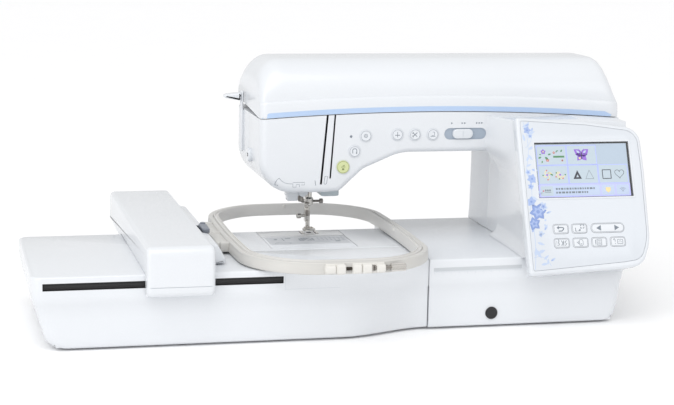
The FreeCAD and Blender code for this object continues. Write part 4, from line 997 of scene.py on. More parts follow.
def petal(x, y, reach, wide, turn, steps=10):
    """A leaf shape that starts at (x, y) and points along turn, in degrees."""
    a = math.radians(turn)
    ahead, side = Vector((math.cos(a), math.sin(a))), Vector((-math.sin(a), math.cos(a)))
    middle = [Vector((x, y)) + ahead * reach * k / steps for k in range(steps + 1)]
    out = [side * wide / 2 * math.sin(math.pi * (k / steps) ** 0.8) for k in range(steps + 1)]
    right = [m + o for m, o in zip(middle, out)]
    left = [m - o for m, o in zip(middle, out)]
    return right + left[-2:0:-1]


KEYS = ("key_back", "key_layout", "key_arrows", "key_stitches", "key_hoop", "key_pages",
        "key_help")


def key_shape(name, grow=0.0):
    """Where a key stands on the panel, and its outline grown all round."""
    low, high = mm_box(name)
    x = (PANEL.inverted() @ ((low + high) / 2)).x
    s = 53.0 if name in KEYS[:3] else 36.4
    corner = 5.2 if name == "key_arrows" else 2.8
    return x, s, oblong(x, s, high.x - low.x + 2 * grow, 11 + 2 * grow, corner + grow, 6)


def make_panel():
    frame_line = outline([(213.5, 0, 3.5), (331, 5.0, 16), (354, 8.5, 20), (365.4, 36, 60),
                          (367.2, 120, 60), (366, 172, 21), (300, 181, 90), (213.5, 187, 3.5)], 9)
    slab = rounded_slab(frame_line, -14.0, 0.6, 4.0, 3.2, steps=6)
    slab = piece("panel_frame", slab, RIM_WHITE, stands_for=["panel_housing"],
                 angle=30, local=PANEL)
    face_line = outline([(218.2, 4.9, 2.5), (331, 12.5, 14), (352, 15.2, 16), (361.2, 40, 60),
                         (362.8, 120, 60), (361.5, 167.5, 17), (300, 176.4, 90),
                         (218.6, 182.4, 2.5)], 9)
    cut_line = drawn_in(turned_in(face_line), -0.35)
    carve(slab, cutter_in_panel(cut_line, -0.6, 2.0, PALE_LINE))
    plate = rounded_slab(face_line, -0.6, 0.75, 0.1, 0.35, steps=3)
    plate = piece("panel_plate", plate, PANEL_WHITE, "machine",
                  ["panel_fascia"], angle=30, local=PANEL)
    x0, x1, s0, s1 = SCREEN_BOX
    window = [Vector(p) for p in ((x0, s0), (x1, s0), (x1, s1), (x0, s1))]
    wells = [key_shape(name, 0.35)[2] for name in KEYS]
    carve(plate, cutter_in_panel(window, -3.0, 2.0, RIM_WHITE),
          *[cutter_in_panel(well, -3.0, 2.0, LINE_GREY) for well in wells])
    carve(slab, cutter_in_panel(window, -3.0, 2.0, RIM_WHITE),
          *[cutter_in_panel(well, -2.6, 2.0, LINE_GREY) for well in wells])
    bezel_out = oblong((x0 + x1) / 2, (s0 + s1) / 2, x1 - x0 + 4.6, s1 - s0 + 4.6, 1.6)
    bezel = piece("screen_bezel", rounded_slab(bezel_out, 0.3, 1.15, 0.1, 0.4, steps=3),
                  RIM_WHITE, "machine", angle=30, local=PANEL)
    carve(bezel, cutter_in_panel(window, -3.0, 3.0, RIM_WHITE))


def cutter_in_panel(points, low, high, material):
    return piece("cutter", on_panel(points, low, high), material, body=None, local=PANEL)


make_panel()


INK_STEP, GLASS_LEVEL = 0.05, -0.9


def make_screen():
    """A lit screen of made-up stitch pictures, laid one on another in steps of INK_STEP."""
    x0, x1, s0, s1 = SCREEN_BOX
    glass = on_panel([(x0 + 0.1, s0 + 0.1), (x1 - 0.1, s0 + 0.1), (x1 - 0.1, s1 - 0.1),
                      (x0 + 0.1, s1 - 0.1)], -2.6, GLASS_LEVEL)
    lit = (x0 + 1.1, x1 - 2.4, s0 + 1.0, s1 - 1.9)
    wide, tall = lit[1] - lit[0], lit[3] - lit[2]
    level = GLASS_LEVEL

    def spot(u, v):
        return Vector((lit[0] + u * wide, lit[3] - v * tall))

    def about(at, *points):
        return [at + Vector(p) for p in points]

    def cell(u0, v0, u1, v1, corner=0.01):
        a, b = spot(u0, v1), spot(u1, v0)
        return oblong((a.x + b.x) / 2, (a.y + b.y) / 2, b.x - a.x, b.y - a.y, corner, 4)

    mats = [INK, SCREEN, TILE_EDGE, TILE, BAR_BLUE, VIOLET, LEAF, ROSE, STRAW, LINE_GREY,
            PETAL_PALE, GLASS_BLACK]
    ink, back, edge, tile, bar, violet, leaf, rose, straw, grey, pale, black = range(12)
    parts = [(black, glass)]

    def lay(index, points, step):
        parts.append((index, on_panel(points, level, level + step * INK_STEP)))

    def line(index, points, width, step):
        parts.append((index, ribbon(points, width, level, step * INK_STEP)))

    lay(back, cell(0, 0, 1, 1), 1)
    lay(bar, cell(0, 0.76, 1, 1), 2)
    rows = ((0.035, 0.385), (0.41, 0.745))
    spans = ((0.018, 0.328), (0.345, 0.655), (0.672, 0.982))
    for r, (v0, v1) in enumerate(rows):
        for c, (u0, u1) in enumerate(spans):
            if (r, c) == (0, 2):
                continue
            lay(edge, cell(u0 - 0.008, v0 - 0.014, u1 + 0.008, v1 + 0.014), 3)
            lay(tile, cell(u0, v0, u1, v1), 4)
    for u0, u1 in ((0.018, 0.665), (0.685, 0.825), (0.845, 0.985)):
        lay(pale, cell(u0, 0.785, u1, 0.975, 1.6), 3)
    lay(tile, cell(0.022, 0.79, 0.155, 0.97, 1.2), 4)

    def bloom(u, v, size, index, heart):
        at = spot(u, v)
        for k in range(5):
            lay(index, petal(at.x, at.y, size, size * 0.75, 72 * k + 18), 5)
        lay(heart, disc(at.x, at.y, size * 0.28, 10), 6)

    bloom(0.085, 0.14, 3.4, violet, straw)
    bloom(0.125, 0.30, 2.3, rose, straw)
    for u, v, turn, size in ((0.06, 0.24, 200, 4.2), (0.10, 0.24, 320, 5.2),
                             (0.135, 0.20, 20, 4.0), (0.07, 0.31, 250, 3.2),
                             (0.06, 0.20, 150, 2.6)):
        at = spot(u, v)
        lay(leaf, petal(at.x, at.y, size, size * 0.5, turn), 5)
    a, b = spot(0.19, 0.22), spot(0.31, 0.255)
    lay(leaf, [(a.x, b.y), (b.x, b.y), (b.x, a.y), (a.x, a.y)], 5)
    bloom(0.20, 0.16, 1.7, rose, straw)
    bloom(0.285, 0.31, 1.5, rose, leaf)
    for u, v, turn in ((0.22, 0.15, 30), (0.25, 0.13, 160), (0.27, 0.14, 10), (0.295, 0.11, 200)):
        at = spot(u, v)
        lay(leaf, petal(at.x, at.y, 2.6, 1.2, turn), 5)
    hub = spot(0.50, 0.215)
    for sign in (-1, 1):
        for turn, reach, span in ((38, 11.5, 7.6), (-48, 8.6, 6.0), (8, 7.5, 5.0)):
            lay(violet, petal(hub.x, hub.y, reach, span, turn if sign > 0 else 180 - turn), 5)
        lay(pale, petal(hub.x + sign * 2.4, hub.y + 2.4, 5.0, 2.4, 42 if sign > 0 else 138), 6)
        line(violet, curve_points((hub.x, hub.y + 2), (hub.x + sign * 1.2, hub.y + 6),
                                  (hub.x + sign * 3.4, hub.y + 7.5)), 0.4, 5)
    lay(ink, oblong(hub.x, hub.y - 0.6, 1.1, 8.2, 0.5, 4), 7)
    lay(straw, disc(hub.x - 2.6, hub.y - 3.6, 1.3, 10), 7)
    for u, sign in ((0.105, 1), (0.245, -1)):
        at = spot(u, 0.58)
        for k, (turn, reach) in enumerate(((0, 6.4), (72, 5.4), (144, 5.0), (216, 5.6),
                                           (288, 5.0))):
            a = math.radians(turn * sign + 20 * k)
            tip = Vector((at.x + reach * math.cos(a), at.y + reach * math.sin(a)))
            lean = Vector((at.x + reach * math.cos(a + 1.1 * sign),
                           at.y + reach * math.sin(a + 1.1 * sign)))
            line(straw, curve_points(at, lean, tip), 0.9, 5)
            lay(rose if k % 2 else leaf, disc(tip.x, tip.y, 0.9, 9), 6)
        lay(violet, disc(at.x, at.y, 1.3, 12), 6)
    at = spot(0.435, 0.585)
    lay(ink, about(at, (-5.4, -5), (5.0, -5), (0, 5.4)), 5)
    lay(tile, about(at, (-1.8, -3), (1.5, -3), (0, 0.4)), 6)
    at = spot(0.565, 0.585)
    for a, b in sides(about(at, (-5.0, -5), (5.0, -5), (0, 5.2))):
        line(grey, [a, b], 0.45, 5)
    at = spot(0.755, 0.585)
    for a, b in sides(about(at, (-5.2, -5.2), (5.2, -5.2), (5.2, 5.2), (-5.2, 5.2))):
        line(ink, [a, b], 0.5, 5)
        for k in range(8):
            p = a.lerp(b, (k + 0.5) / 8)
            lay(ink, oblong(p.x, p.y, 0.95, 0.95, 0.05, 2), 6)
    at = spot(0.895, 0.575)
    heart = []
    for k in range(40):
        t = 2 * math.pi * k / 40
        heart.append(Vector((at.x + 0.355 * 16 * math.sin(t) ** 3,
                             at.y + 0.355 * (13 * math.cos(t) - 5 * math.cos(2 * t) -
                                             2 * math.cos(3 * t) - math.cos(4 * t)))))
    line(ink, heart + heart[:1], 0.5, 5)
    for row, v in enumerate((0.845, 0.915)):
        u = 0.185
        while u < 0.60 - 0.06 * row:
            long = 0.012 + 0.022 * RANDOM.random()
            lay(grey, cell(u, v - 0.017, min(u + long, 0.64), v + 0.017, 0.2), 5)
            u += long + 0.010
    at = spot(0.755, 0.88)
    lay(straw, outline([(at.x - 3, at.y + 3, 0.4), (at.x + 3, at.y + 3, 0.4),
                        (at.x + 3, at.y - 1, 0.6), (at.x, at.y - 3.6, 0.8),
                        (at.x - 3, at.y - 1, 0.6)], 3), 5)
    at = spot(0.915, 0.88)
    for half, drop in ((3.4, 1.0), (2.0, -0.4)):
        line(grey, curve_points((at.x - half, at.y + drop), (at.x, at.y + drop + 1.8),
                                (at.x + half, at.y + drop)), 0.45, 5)
    lay(grey, disc(at.x, at.y - 1.7, 0.7, 10), 5)
    at = spot(0.088, 0.88)
    lay(rose, disc(at.x - 4.4, at.y, 1.0, 9), 5)
    for dx in (-1.6, 1.0, 3.6):
        lay(grey, oblong(at.x + dx, at.y + 0.6, 1.8, 2.2, 0.2, 3), 5)
    line(grey, [(at.x - 2.8, at.y - 1.8), (at.x + 5.0, at.y - 1.8)], 0.5, 5)
    merged("screen_display", parts, mats, "machine", ["lcd_screen"],
           local=PANEL, angle=20)


make_screen()


FLORAL_LEFT, FLORAL_FOOT, LAYER_STEP = 219.0, 6.0, 0.006


def make_florals():
    """The pale blue flowers printed down the left edge of the panel."""
    parts = []
    level = 0.72
    heights = [0]

    def lay(index, points, up=0.06):
        heights[0] = (heights[0] + 1) % 7
        points = [Vector((max(p.x, FLORAL_LEFT), max(p.y, FLORAL_FOOT))) for p in turned_in(points)]
        parts.append((index, prism(points, level, level + up + LAYER_STEP * heights[0])))

    def bloom(x, y, size, deep, petals, turn):
        for k in range(petals):
            lay(deep, petal(x, y, size, size * 0.72, turn + 360 * k / petals), 0.10)
            lay(1, petal(x, y, size * 0.62, size * 0.36, turn + 360 * k / petals), 0.16)
        lay(0, disc(x, y, size * 0.2, 12), 0.22)

    for a, b, c, steps, width in (((220, 6.5), (226, 40), (221, 78), 24, 0.7),
                                  ((221, 78), (229, 100), (220, 122), 20, 0.6),
                                  ((220, 122), (230, 150), (222, 181), 24, 0.6),
                                  ((219.5, 20), (233, 26), (240, 10), 16, 0.6),
                                  ((222, 150), (232, 156), (232, 172), 14, 0.5)):
        vine = ribbon(curve_points(a, b, c, steps), width, level, 0.05)
        parts.append((2, vine))
    for x, y, reach, turn in ((224, 172, 11, 60), (226, 166, 10, 20), (222, 158, 9, 100),
                              (224, 142, 9, 310), (222, 134, 8, 60), (221, 128, 7, 20),
                              (224, 100, 8, 60), (224, 92, 8, 330), (228, 46, 9, 20),
                              (226, 38, 9, 340), (223, 30, 12, 300), (222, 22, 10, 80),
                              (232, 18, 8, 40), (228, 12, 9, 10), (236, 12, 7, 80)):
        lay(2, petal(x, y, reach, reach * 0.34, turn))
    for x, y, reach, turn in ((229, 178, 9, 200), (233, 174, 7, 250), (226, 148, 8, 30),
                              (227, 124, 8, 350), (231, 96, 8, 20), (240, 72, 7, 20),
                              (236, 52, 8, 60), (231, 44, 8, 100), (240, 16, 7, 30),
                              (226, 26, 9, 20), (221, 50, 8, 70)):
        lay(2, petal(x, y, reach, reach * 0.4, turn))
        lay(1, petal(x, y, reach * 0.6, reach * 0.2, turn))
    for row in ((226, 171, 5.0, 1, 5, 0), (226.5, 113, 6.2, 1, 6, 10), (222.5, 121, 4.2, 2, 5, 40),
                (224, 104, 3.6, 1, 5, 0), (230, 74, 10.6, 0, 6, 8), (224, 60, 8.4, 0, 5, 30),
                (223, 86, 6.4, 1, 5, 12), (237, 80, 5.6, 2, 5, 50), (229, 164, 3.4, 2, 5, 20)):
        bloom(*row)
    for x, y in ((238, 64), (237, 58), (236, 84), (232, 50)):
        lay(2, disc(x, y, 1.3, 12))
    merged("panel_florals", parts, [PETAL, PETAL_MID, PETAL_PALE], "machine",
           local=PANEL, angle=20)


make_florals()


def ring_shape(points, width, low, high):
    """A raised outline of one width just inside a closed line."""
    points = turned_in(points)
    inner = drawn_in(points, width)
    return rings_mesh([along_z(points, low), along_z(points, high), along_z(inner, high),
                       along_z(inner, low)], looped=True)


def draw_marks(marks, index, level, thick, x=0.0, y=0.0):
    """Flat marks about (x, y) from (kind, points, width) rows, as parts for merged."""
    parts = []
    for kind, points, width in marks:
        points = [Vector((x + a, y + b)) for a, b in points]
        if kind == "fill":
            parts.append((index, on_panel(points, level, level + thick)))
        elif kind == "ring":
            parts.append((index, ring_shape(points, width, level, level + thick)))
        elif kind == "corners":
            for a, b in sides(points):
                for ends in ((a, a.lerp(b, 0.36)), (a.lerp(b, 0.64), b)):
                    parts.append((index, ribbon(ends, width, level, thick)))
        else:
            path = curve_points(*points) if kind == "bend" else points
            parts.append((index, ribbon(path, width, level, thick)))
    return parts


KEY_ICONS = {
    "key_back": [("bend", [(-3.2, 1.6), (7.5, 2.6), (1, -2.4)], 1.2),
                 ("line", [(1.2, -2.4), (-3, -2.4)], 1.2),
                 ("fill", [(-5.2, 1.5), (-2.4, 3.6), (-2.4, -0.6)], 0)],
    "key_layout": [("line", [(-5, 1), (-5, -3), (-3, -3)], 0.8),
                   ("fill", [(-2, -3), (1, -3), (1, 0)], 0),
                   ("corners", [(1.6, 0.4), (5.6, 0.4), (5.6, 4.2), (1.6, 4.2)], 0.8)],
    "key_arrows": [("fill", [(14.2 * side, 0), (8.4 * side, 3.3), (8.4 * side, -3.3)], 0)
                   for side in (-1, 1)],
    "key_stitches": [("line", [(-6.2, -2.8 + 1.6 * k), (-6.2, -2.2 + 1.6 * k)], 0.8)
                     for k in range(4)] +
                    [("line", [(-4.4 + 1.1 * (k % 2), -3 + 1.9 * k),
                               (-3.3 - 1.1 * (k % 2), -1.3 + 1.9 * k)], 0.8) for k in range(4)] +
                    [("line", [(-0.6, -3), (1.2, 0), (-0.6, 3)], 0.8),
                     ("line", [(2.0, -3), (2.0, 3)], 0.8),
                     ("line", [(3.6, -3), (5.8, -1), (3.6, 1), (5.8, 3)], 0.8)],
    "key_hoop": [("ring", oblong(0.6, 0, 5.2, 7.6, 2.2), 0.5),
                 ("line", [(-4.6, 0.8), (-2.4, -1.4), (-2.4, 1.6)], 0.8),
                 ("line", [(-0.4, -1.6), (1.6, -1.6)], 0.8)],
    "key_pages": [("ring", oblong(0, 0, 6.0, 7.4, 0.6), 0.5)] +
                 [("line", [(-1.8, -1.8 + 1.7 * k), (1.8, -1.8 + 1.7 * k)], 0.45)
                  for k in range(3)] + [("line", [(-4.6, -2.8), (-4.6, 2.8)], 0.8)],
    "key_help": [("bend", [(-5.6, 2.2), (-3.4, 5.2), (-3.4, 0)], 0.7),
                 ("fill", disc(-3.5, -2.2, 0.5, 8), 0),
                 ("ring", oblong(2.6, 0, 7.0, 5.4, 0.8), 0.5),
                 ("line", [(0.6, -0.8), (2.4, 1.0), (4.6, -0.6)], 0.45)],
}
KEY_TOP = 1.25


def make_keys():
    for name in KEYS:
        x, s, shape = key_shape(name)
        inner = drawn_in(turned_in(shape), 0.75)
        parts = [(0, rounded_slab(shape, -1.2, KEY_TOP, 0.1, 0.45, steps=3)),
                 (1, ring_shape(inner, 0.38, KEY_TOP - 0.1, KEY_TOP + 0.06))]
        parts += draw_marks(KEY_ICONS[name], 1, KEY_TOP, 0.07, x, s)
        merged(name + "_cap", parts, [KEY_WHITE, LINE_GREY], name, [name],
               local=PANEL, angle=30)


make_keys()

# ------------------------------------------------------------------ buttons on the arm


def to_front(x, z, proud):
    """Stands a flat drawing, made about (0, 0) with its face up, on the front of the arm."""
    return Matrix(((1, 0, 0, x), (0, 0, -1, FRONT - proud), (0, 1, 0, z), (0, 0, 0, 1)))


BUTTON_ICONS = {
    "start_stop_button": [("fill", [(-1.6, 0.9), (1.6, 2.6), (1.6, 0.9)], 0),
                          ("fill", oblong(0, -2.6, 2.6, 2.2, 0.2, 3), 0),
                          ("line", [(-2.6, 0), (2.6, 0)], 0.5)],
    "reverse_button": [("bend", [(-2.2, -2.4), (-3.4, 3.6), (0, 3.0)], 0.8),
                       ("bend", [(0, 3.0), (3.4, 3.6), (2.2, -2.4)], 0.8),
                       ("fill", [(1.2, -1.6), (3.4, -1.6), (2.3, -3.4)], 0)],
    "reinforcement_button": [("ring", disc(0, 0, 2.3, 20), 0.6), ("fill", disc(0, 0, 0.8, 10), 0)],
    "needle_position_button": [("line", [(0, -3.2), (0, 3.2)], 0.6),
                               ("line", [(-3, -0.6), (3, -0.6)], 0.8)],
    "thread_cutter_button": [("line", [(-2.8, -2.2), (2.6, 2.4)], 0.8),
                             ("line", [(-2.8, 2.2), (2.6, -2.4)], 0.8),
                             ("ring", disc(-3.0, -2.4, 1.1, 12), 0.4),
                             ("ring", disc(-3.0, 2.4, 1.1, 12), 0.4)],
    "presser_foot_button": [("line", [(-3, -2.4), (3, -2.4)], 0.6),
                            ("line", [(-1.6, -1.2), (1.8, -1.2), (1.8, 2.8), (-0.4, 2.8)], 0.6)],
}
BUTTON_RADIUS, START_RADIUS = 7.0, 8.0
BUTTON_DISH = ((0.3, -0.7), (0.5, -0.15), (1.1, 0.0), (1.9, -0.12), (3.5, -0.25))


def make_buttons():
    for name, icon in BUTTON_ICONS.items():
        low, high = mm_box(name)
        middle, proud = (low + high) / 2, FRONT - low.y
        start = name == "start_stop_button"
        radius = START_RADIUS if start else BUTTON_RADIUS
        rings = [along_z(disc(0, 0, radius - inset, 40), level) for inset, level in
                 ((0.3, -proud - 3.4), *BUTTON_DISH)]
        parts = [(0, rings_mesh(rings)),
                 (1, ring_shape(disc(0, 0, radius - 1.0, 40), 0.35, -0.1, 0.04))]
        parts += draw_marks(icon, 1, -0.24, 0.06)
        tones = [LIT_GREEN, LINE_GREEN] if start else [KEY_WHITE, LINE_GREY]
        merged(name + "_cap", parts, tones, name,
               [name], local=to_front(middle.x, middle.z, proud), angle=30)
        collar = ring_shape(disc(0, 0, radius + 0.9, 40), 0.7, -0.5, 0.2)
        piece(name + "_collar", collar, RIM_WHITE, local=to_front(middle.x, middle.z, 0), angle=30)
    low, high = mm_box("speed_slider")
    middle = (low + high) / 2
    grip = rounded_slab(oblong(0, 0, high.x - low.x, high.z - low.z, 5.4), -3.6, 2.2, 0.1, 1.2,
                        steps=4)
    parts = [(0, grip), (1, box_mesh((-0.4, -3.6, 2.0), (0.4, 3.6, 2.3), 0.1))]
    merged("speed_grip", parts, [RIM_WHITE, PALE_LINE], "speed_slider",
           ["speed_slider"], local=to_front(middle.x, middle.z, 0.6), angle=30)
    marks = [("fill", [(x + 3.2 * k, 224.2), (x + 3.2 * k + 2.4, 225.4), (x + 3.2 * k, 226.6)], 0)
             for x, count in ((153, 1), (166, 2), (184, 3)) for k in range(count)]
    merged("speed_marks", draw_marks(marks, 0, -0.2, 0.28), [LINE_GREY],
           local=to_front(0, 0, 0), angle=20)
    led = lathe([(0.1, 0.5), (1.1, 0.4), (1.6, 0.0), (1.6, -0.6), (0.1, -0.6)], (0, 0, 0), "Z", 20)
    piece("status_light", led, LINE_GREY, local=to_front(31, 211.3, 0), angle=30)


make_buttons()


THREAD_MARKS = [
    ("bend", [(-60, 156), (-57, 163), (-54, 163.5)], 0.45),
    ("line", curve_points((-54, 163.5), (-50, 156), (-38, 156.5), 14), 0.45),
    ("line", [(-38, 156.5), (-38, 152.5), (-34, 152.5), (-34, 155.5), (-30, 155.5),
              (-30, 152.5)], 0.45),
    ("line", [(-38, 158), (-24, 158), (-24, 155), (-28, 155)], 0.45),
    ("line", [(-59.5, 155.5), (-58.5, 155.5)], 0.8),
    ("line", [(-57, 155), (-56, 155)], 0.8),
    ("line", [(-10.6, 154), (-11.6, 160)], 0.6),
    ("line", [(0.4, 164.5), (-0.8, 156.5)], 0.5),
    ("bend", [(-0.8, 156.5), (1.0, 153.5), (2.6, 157)], 0.5),
    ("line", [(2.6, 157), (3.6, 164.5), (0.4, 164.5)], 0.5),
]


def make_marks():
    """Thread-path lines on the head and beside its slots."""
    merged("thread_path_marks", draw_marks(THREAD_MARKS, 0, -0.2, 0.28), [LINE_GREY],
           local=to_front(0, 0, 0), angle=20)


make_marks()

# ------------------------------------------------------------------ needle area


def make_lamp():
    low, high = mm_box("lamp_housing")
    lens = box_mesh((low.x + 3, low.y + 3, low.z - 0.5), (high.x - 3, high.y - 3, low.z + 0.4),
                    0.2)
    merged("lamp_block", [(0, box_mesh(low, high, 1.8)), (1, lens)], [LAMP, RIM_WHITE],
           stands_for=["lamp_housing"], angle=30)


def make_threader():
    wing = outline([(-18.6, 142, 1), (-18.6, 133, 3), (-12.5, 129.6, 4), (-7, 134, 3),
                    (-7, 142, 1)], 5)
    hook = tube([(-15.5, -11, 131), (-15.5, -11, 124.5), (-11, -10.4, 122.4), (-8.6, -9, 122)],
                1.3)
    post = lathe([(0.2, 123), (3.0, 123), (3.4, 124.5), (3.4, 128.6), (2.4, 130.6), (0.2, 130.6)],
                 (-13, -11, 0), "Z", 20)
    pin = lathe([(0.2, -13.4), (1.6, -13.4), (1.6, -8.4), (0.2, -8.4)], (-10.6, 0, 125.4), "Y", 16)
    parts = [(0, box_mesh((-34, -26, 131), (-18.4, -12, 157), 2.2)),
             (0, box_mesh((-32.6, -25.2, 126), (-19.4, -12.8, 134), 1.6)),
             (0, rounded_slab(wing, -24, -14, 1.2, 1.2, along_y, 4)),
             (1, box_mesh((-33.4, -26.3, 141.4), (-19.2, -25.6, 142.4), 0.2)),
             (2, hook), (2, post), (2, pin)]
    merged("threader_arm", parts, [WHITE, GAP_DARK, STEEL_DARK], "needle_threader",
           stands_for=["needle_threader"], angle=35)


def make_needle_bar():
    low, high = mm_box("needle_bar")
    bar = lathe([(0.3, low.z), (3.8, low.z), (4.8, low.z + 1), (5.0, low.z + 8.4),
                 (4.2, low.z + 9.8), (3.2, low.z + 10.2), (3.2, high.z - 0.6), (2.6, high.z),
                 (0.3, high.z)], (0, 0, 0), "Z", 32)
    z = low.z + 5
    screw = lathe([(0.2, 3), (1.6, 3), (1.6, 12.6), (2.9, 12.8), (3.0, 13.2), (3.0, high.x - 0.5),
                   (2.4, high.x), (0.2, high.x)], (0, 0, z), "X", 24)
    guide = tube([(-4.6, -1.0, z - 1), (-5.6, -3.4, z - 1.4), (-3.4, -5.0, z - 1.6),
                  (-0.8, -5.2, z - 1.6)], 0.7)
    merged("needle_bar_clamp", [(0, bar), (1, screw), (1, guide)], [STEEL, STEEL_DARK],
           "needle_bar", ["needle_bar"], angle=30)


FOOT_SCREW_AT = (0, 11, 101)


def make_foot():
    """The embroidery foot: a ring sole hung from an ankle by two thin wires."""
    sole = rings_mesh([along_z(disc(0, 0, r, 40), z) for r, z in
                       ((3.5, 85.2), (7.7, 85.1), (8.0, 85.6), (8.0, 86.9), (7.4, 87.35),
                        (4.0, 87.35), (3.5, 86.9))], looped=True)
    screw = lathe([(0.2, -12.9), (2.6, -12.9), (3.3, -12.2), (3.3, -8.4), (2.9, -8.0),
                   (1.8, -8.0), (1.8, -3.4), (0.2, -3.4)], FOOT_SCREW_AT, "X", 24)
    # The dark steel ring on the screw head is painted shade for its drive socket, which is not cut.
    drive = lathe([(0.9, -13.05), (2.2, -13.05), (2.2, -12.8), (0.9, -12.8)], FOOT_SCREW_AT,
                  "X", 20)
    parts = [(0, box_mesh((-3.5, 7.6, 94), (3, 14, 112), 0.7)),
             (0, box_mesh((-2.4, 5.6, 86.6), (2.4, 11.8, 96), 0.7)),
             (1, box_mesh((-3.0, 6.8, 101), (2.6, 7.7, 108.5), 0.3)),
             (0, screw), (1, drive), (0, sole)]
    parts += [(0, tube([(1.8 * side, 7.2, 87), (4.6 * side, 5.0, 87.6), (5.4 * side, 1, 87.4)],
                       0.8)) for side in (-1, 1)]
    merged("darning_foot", parts, [STEEL, STEEL_DARK], "presser_bar",
           ["embroidery_foot"], angle=35)


make_lamp()
make_threader()
make_needle_bar()
make_foot()

# ------------------------------------------------------------------ left end of the head


def make_head_end():
    left = ARM_LEFT
    low, high = mm_box("threader_lever")
    shape = outline([(high.x, 241.6, 0.6), (high.x, 251.4, 0.6), (low.x + 3, 249.6, 2),
                     (low.x, 248.4, 2), (low.x, 245.6, 2), (low.x + 4, 244.6, 3)], 5)
    lever = rounded_slab(shape, low.y, high.y, 2.6, 2.6, along_y, 5)
    piece("threader_handle", lever, WHITE, "threader_lever", stands_for=["threader_lever"],
          angle=35)
    rail = [(0, box_mesh((left - 3, low.y + 2, 180), (left - 0.4, high.y - 2, 253), 1.0)),
            (0, box_mesh((left - 2.4, low.y + 2.6, 181), (left + 1.5, high.y - 2.6, 230), 0.4))]
    merged("threader_rail", rail, [WHITE_SATIN], angle=35)
    low, high = mm_box("thread_cutter")
    guard = outline([(-30, 176, 6), (-8, 172, 6), (-8, 188, 5), (-24, 192, 6)], 6)
    blade = [(0, rounded_slab(guard, low.x, high.x + 1.0, 1.4, 0.2, along_x, 4)),
             # The ink-coloured block is painted shade: a flat dark sheet for the hollow of the
             # cutter's notch, with the steel blade sliver set in it.
             (1, box_mesh((low.x - 0.2, -24, 181), (low.x + 0.6, -17.5, 185), 0.2)),
             (2, box_mesh((low.x - 0.4, -22, 182.2), (low.x + 0.3, -19, 183.6), 0.1))]
    merged("cutter_guard", blade, [RIM_WHITE, INK, STEEL], stands_for=["thread_cutter"], angle=35)


make_head_end()

# ------------------------------------------------------------------ plates on the free arm


def flat_cover(low, high):
    """A thin rectangular plate that fills a node's box."""
    middle, size = (low + high) / 2, high - low
    return rounded_slab(oblong(middle.x, middle.y, size.x, size.y, 1.2), low.z, high.z,
                        0.1, 0.3, steps=2)


def threading_diagram():
    """The generic drawing printed on the bobbin cover's label, with no lettering."""
    marks = [("bend", [(4, 8), (8, 17), (20, 13)], 0.6),
             ("bend", [(20, 13), (26, 10), (22, 6)], 0.6),
             ("line", [(4, 8), (22, 6)], 0.6),
             ("line", [(22, 8), (44, 9), (60, 14), (72, 12)], 0.6),
             ("line", [(18, 22), (18, 38)], 0.8),
             ("line", [(56, 20), (93, 20)], 0.5),
             ("fill", disc(9, 31, 2.2), 0)]
    blocks = [(25, 36, 7, 2.6), (82, 14, 6, 4)]
    blocks += [(38 + 3.2 * k, 36 - 4.6 * row, 2.3, 3.0) for row in range(4) for k in range(6)
               if (row + k) % 5]
    marks += [("fill", oblong(*block, 0.2, 2), 0) for block in blocks]
    for k in range(7):
        x = 61 + 5 * k
        marks.append(("line", [(x, 20), (x, 38)], 0.5))
        marks.append(("line", [(x, 38 - 2.4 * (k % 3)), (x + 4, 33)], 0.5))
    return marks


def make_plates():
    low, high = mm_box("bobbin_cover")
    middle, size = (low + high) / 2, high - low
    label = turned_in(oblong(middle.x + 0.6, middle.y + 8, size.x - 5, 44, 1))
    parts = [(0, flat_cover(low, high)), (1, prism(label, high.z - 0.1, high.z + 0.08))]
    parts += draw_marks(threading_diagram(), 2, high.z + 0.08, 0.05, low.x + 5, middle.y - 14)
    merged("bobbin_door", parts, [WHITE, LABEL, LINE_GREY], stands_for=["bobbin_cover"], angle=30)
    low, high = mm_box("needle_plate")
    plate = piece("stitch_plate", flat_cover(low, high), PLATE_STEEL,
                  stands_for=["needle_plate"], angle=30)
    slots = [box_mesh((x, -9, low.z - 1), (x + 4.2, 8, high.z + 1), 0) for x in (-11, 6.8)]
    hole = lathe([(3.2, low.z - 1), (3.2, high.z + 1)], (0, 0, 0), "Z", 28)
    carve(plate, *[cutter(c, GAP_DARK) for c in slots + [hole]])


make_plates()

# ------------------------------------------------------------------ right end and back


# Rings of the handwheel: how far from its inner or outer face, how far in from its rim, and
# how tall the ridges are there.
WHEEL_INNER = ((0, 3.2, 0), (0.5, 1.0, 0.3), (2, 0.35, 0.5))
WHEEL_OUTER = ((3.2, 0.35, 0.5), (1.2, 1.4, 0.3), (0.3, 3.2, 0), (0, 5.0, 0), (0.2, 8, 0),
               (1.8, 12, 0), (2.4, 20, 0))
WHEEL_POINTS = 144


def make_handwheel():
    low, high = mm_box("handwheel")
    middle, radius = (low + high) / 2, (high.z - low.z) / 2
    rows = [(low.x + x, inset, wave) for x, inset, wave in WHEEL_INNER]
    rows += [(high.x - x, inset, wave) for x, inset, wave in WHEEL_OUTER]
    rings = []
    for x, inset, wave in rows:
        radii = [radius - inset + wave * (0.7 if k % 4 < 2 else -0.7) for k in range(WHEEL_POINTS)]
        rings.append(toothed_ring(x, middle.y, middle.z, radii))
    piece("hand_wheel", rings_mesh(rings), WHITE, "drive_shaft", stands_for=["handwheel"],
          angle=25)


PIN_Y, PIN_Z, PIN_RADIUS, PIN_LONG = 77, 226, 1.95, 5


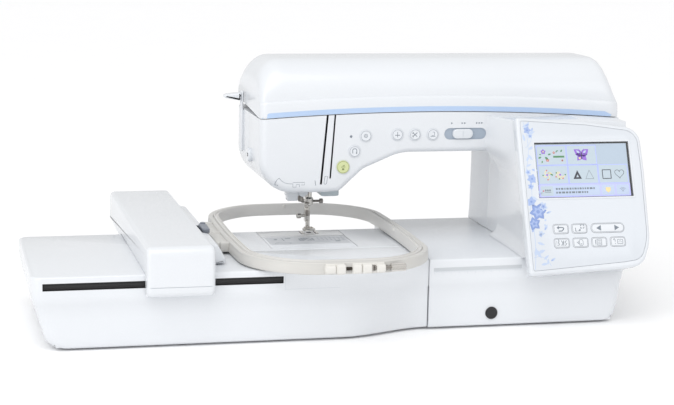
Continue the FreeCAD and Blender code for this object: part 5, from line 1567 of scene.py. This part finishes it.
def make_handle():
    low, high = mm_box("carry_handle")
    handle = [(0, box_mesh((60, low.y, 193), (220, high.y, 204), 4.0, 5))]
    ears = []
    for leg, pin, ear in ((60, 56, 55.5), (206, 219, 220.4)):
        handle.append((0, box_mesh((leg, low.y, 195), (leg + 14, low.y + 8, 229.4), 2.4)))
        handle.append((1, tube([(pin, PIN_Y, PIN_Z), (pin + PIN_LONG, PIN_Y, PIN_Z)],
                               PIN_RADIUS, 16)))
        ears.append((0, box_mesh((ear, BACK - 0.5, 221), (ear + 4.1, BACK + 10, 231), 1.0)))
    merged("fold_handle", handle, [WHITE, STEEL], "carry_handle", stands_for=["carry_handle"],
           angle=35)
    merged("handle_ears", ears, [WHITE], angle=35)


def make_lever_and_switch():
    low, high = mm_box("presser_lever")
    lift = [(0, lathe([(0.2, low.y), (5.4, low.y), (6.0, low.y + 0.6), (6.0, low.y + 6.4),
                       (4.8, low.y + 8), (0.2, low.y + 8)], (12, 0, 200), "Y", 32)),
            (0, box_mesh((9, high.y - 6.2, low.z), (15, high.y - 0.4, 200), 1.6))]
    merged("lift_lever", lift, [WHITE], "presser_lever", stands_for=["presser_lever"], angle=35)
    low, high = mm_box("power_switch")
    rocker = outline([(low.x, low.z + 0.4, 0.6), (low.x + 6.0, low.z + 0.4, 1.2),
                      (low.x + 7.0, low.z + 9, 6), (high.x - 0.2, high.z - 0.4, 1.2),
                      (low.x, high.z - 0.4, 0.6)], 4)
    switch = [(0, rounded_slab(rocker, low.y, high.y, 0.6, 0.6, along_y, 3)),
              (1, box_mesh((high.x - 1.9, (low.y + high.y) / 2 - 0.5, high.z - 6.5),
                           (high.x - 0.55, (low.y + high.y) / 2 + 0.5, high.z - 3.2), 0.1))]
    merged("power_rocker", switch, [BLACK, RIM_WHITE], "power_switch",
           ["power_switch"], angle=30)


make_handwheel()
make_handle()
make_lever_and_switch()

# ------------------------------------------------------------------ finishes on the CAD pieces

FINISH = {
    "bobbin": LAMP, "bobbin_winder": WHITE_SATIN, "bottom_plates": WHITE_SATIN,
    "carriage_guides": STEEL, "drive_belt": RUBBER, "feed_dog": STEEL,
    "frame_casting": CAST, "knee_lift_socket": BLACK, "main_shaft": STEEL,
    "motor": STEEL_DARK, "needle": STEEL, "port_panel": BLACK, "presser_bar": STEEL,
    "rotary_hook": STEEL_DARK, "rubber_feet": RUBBER, "spool_pin": LAMP,
    "take_up_lever": STEEL, "unit_rail": STEEL,
}
for node_name, finish in FINISH.items():
    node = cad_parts[node_name]
    node.data.materials.clear()
    node.data.materials.append(finish)
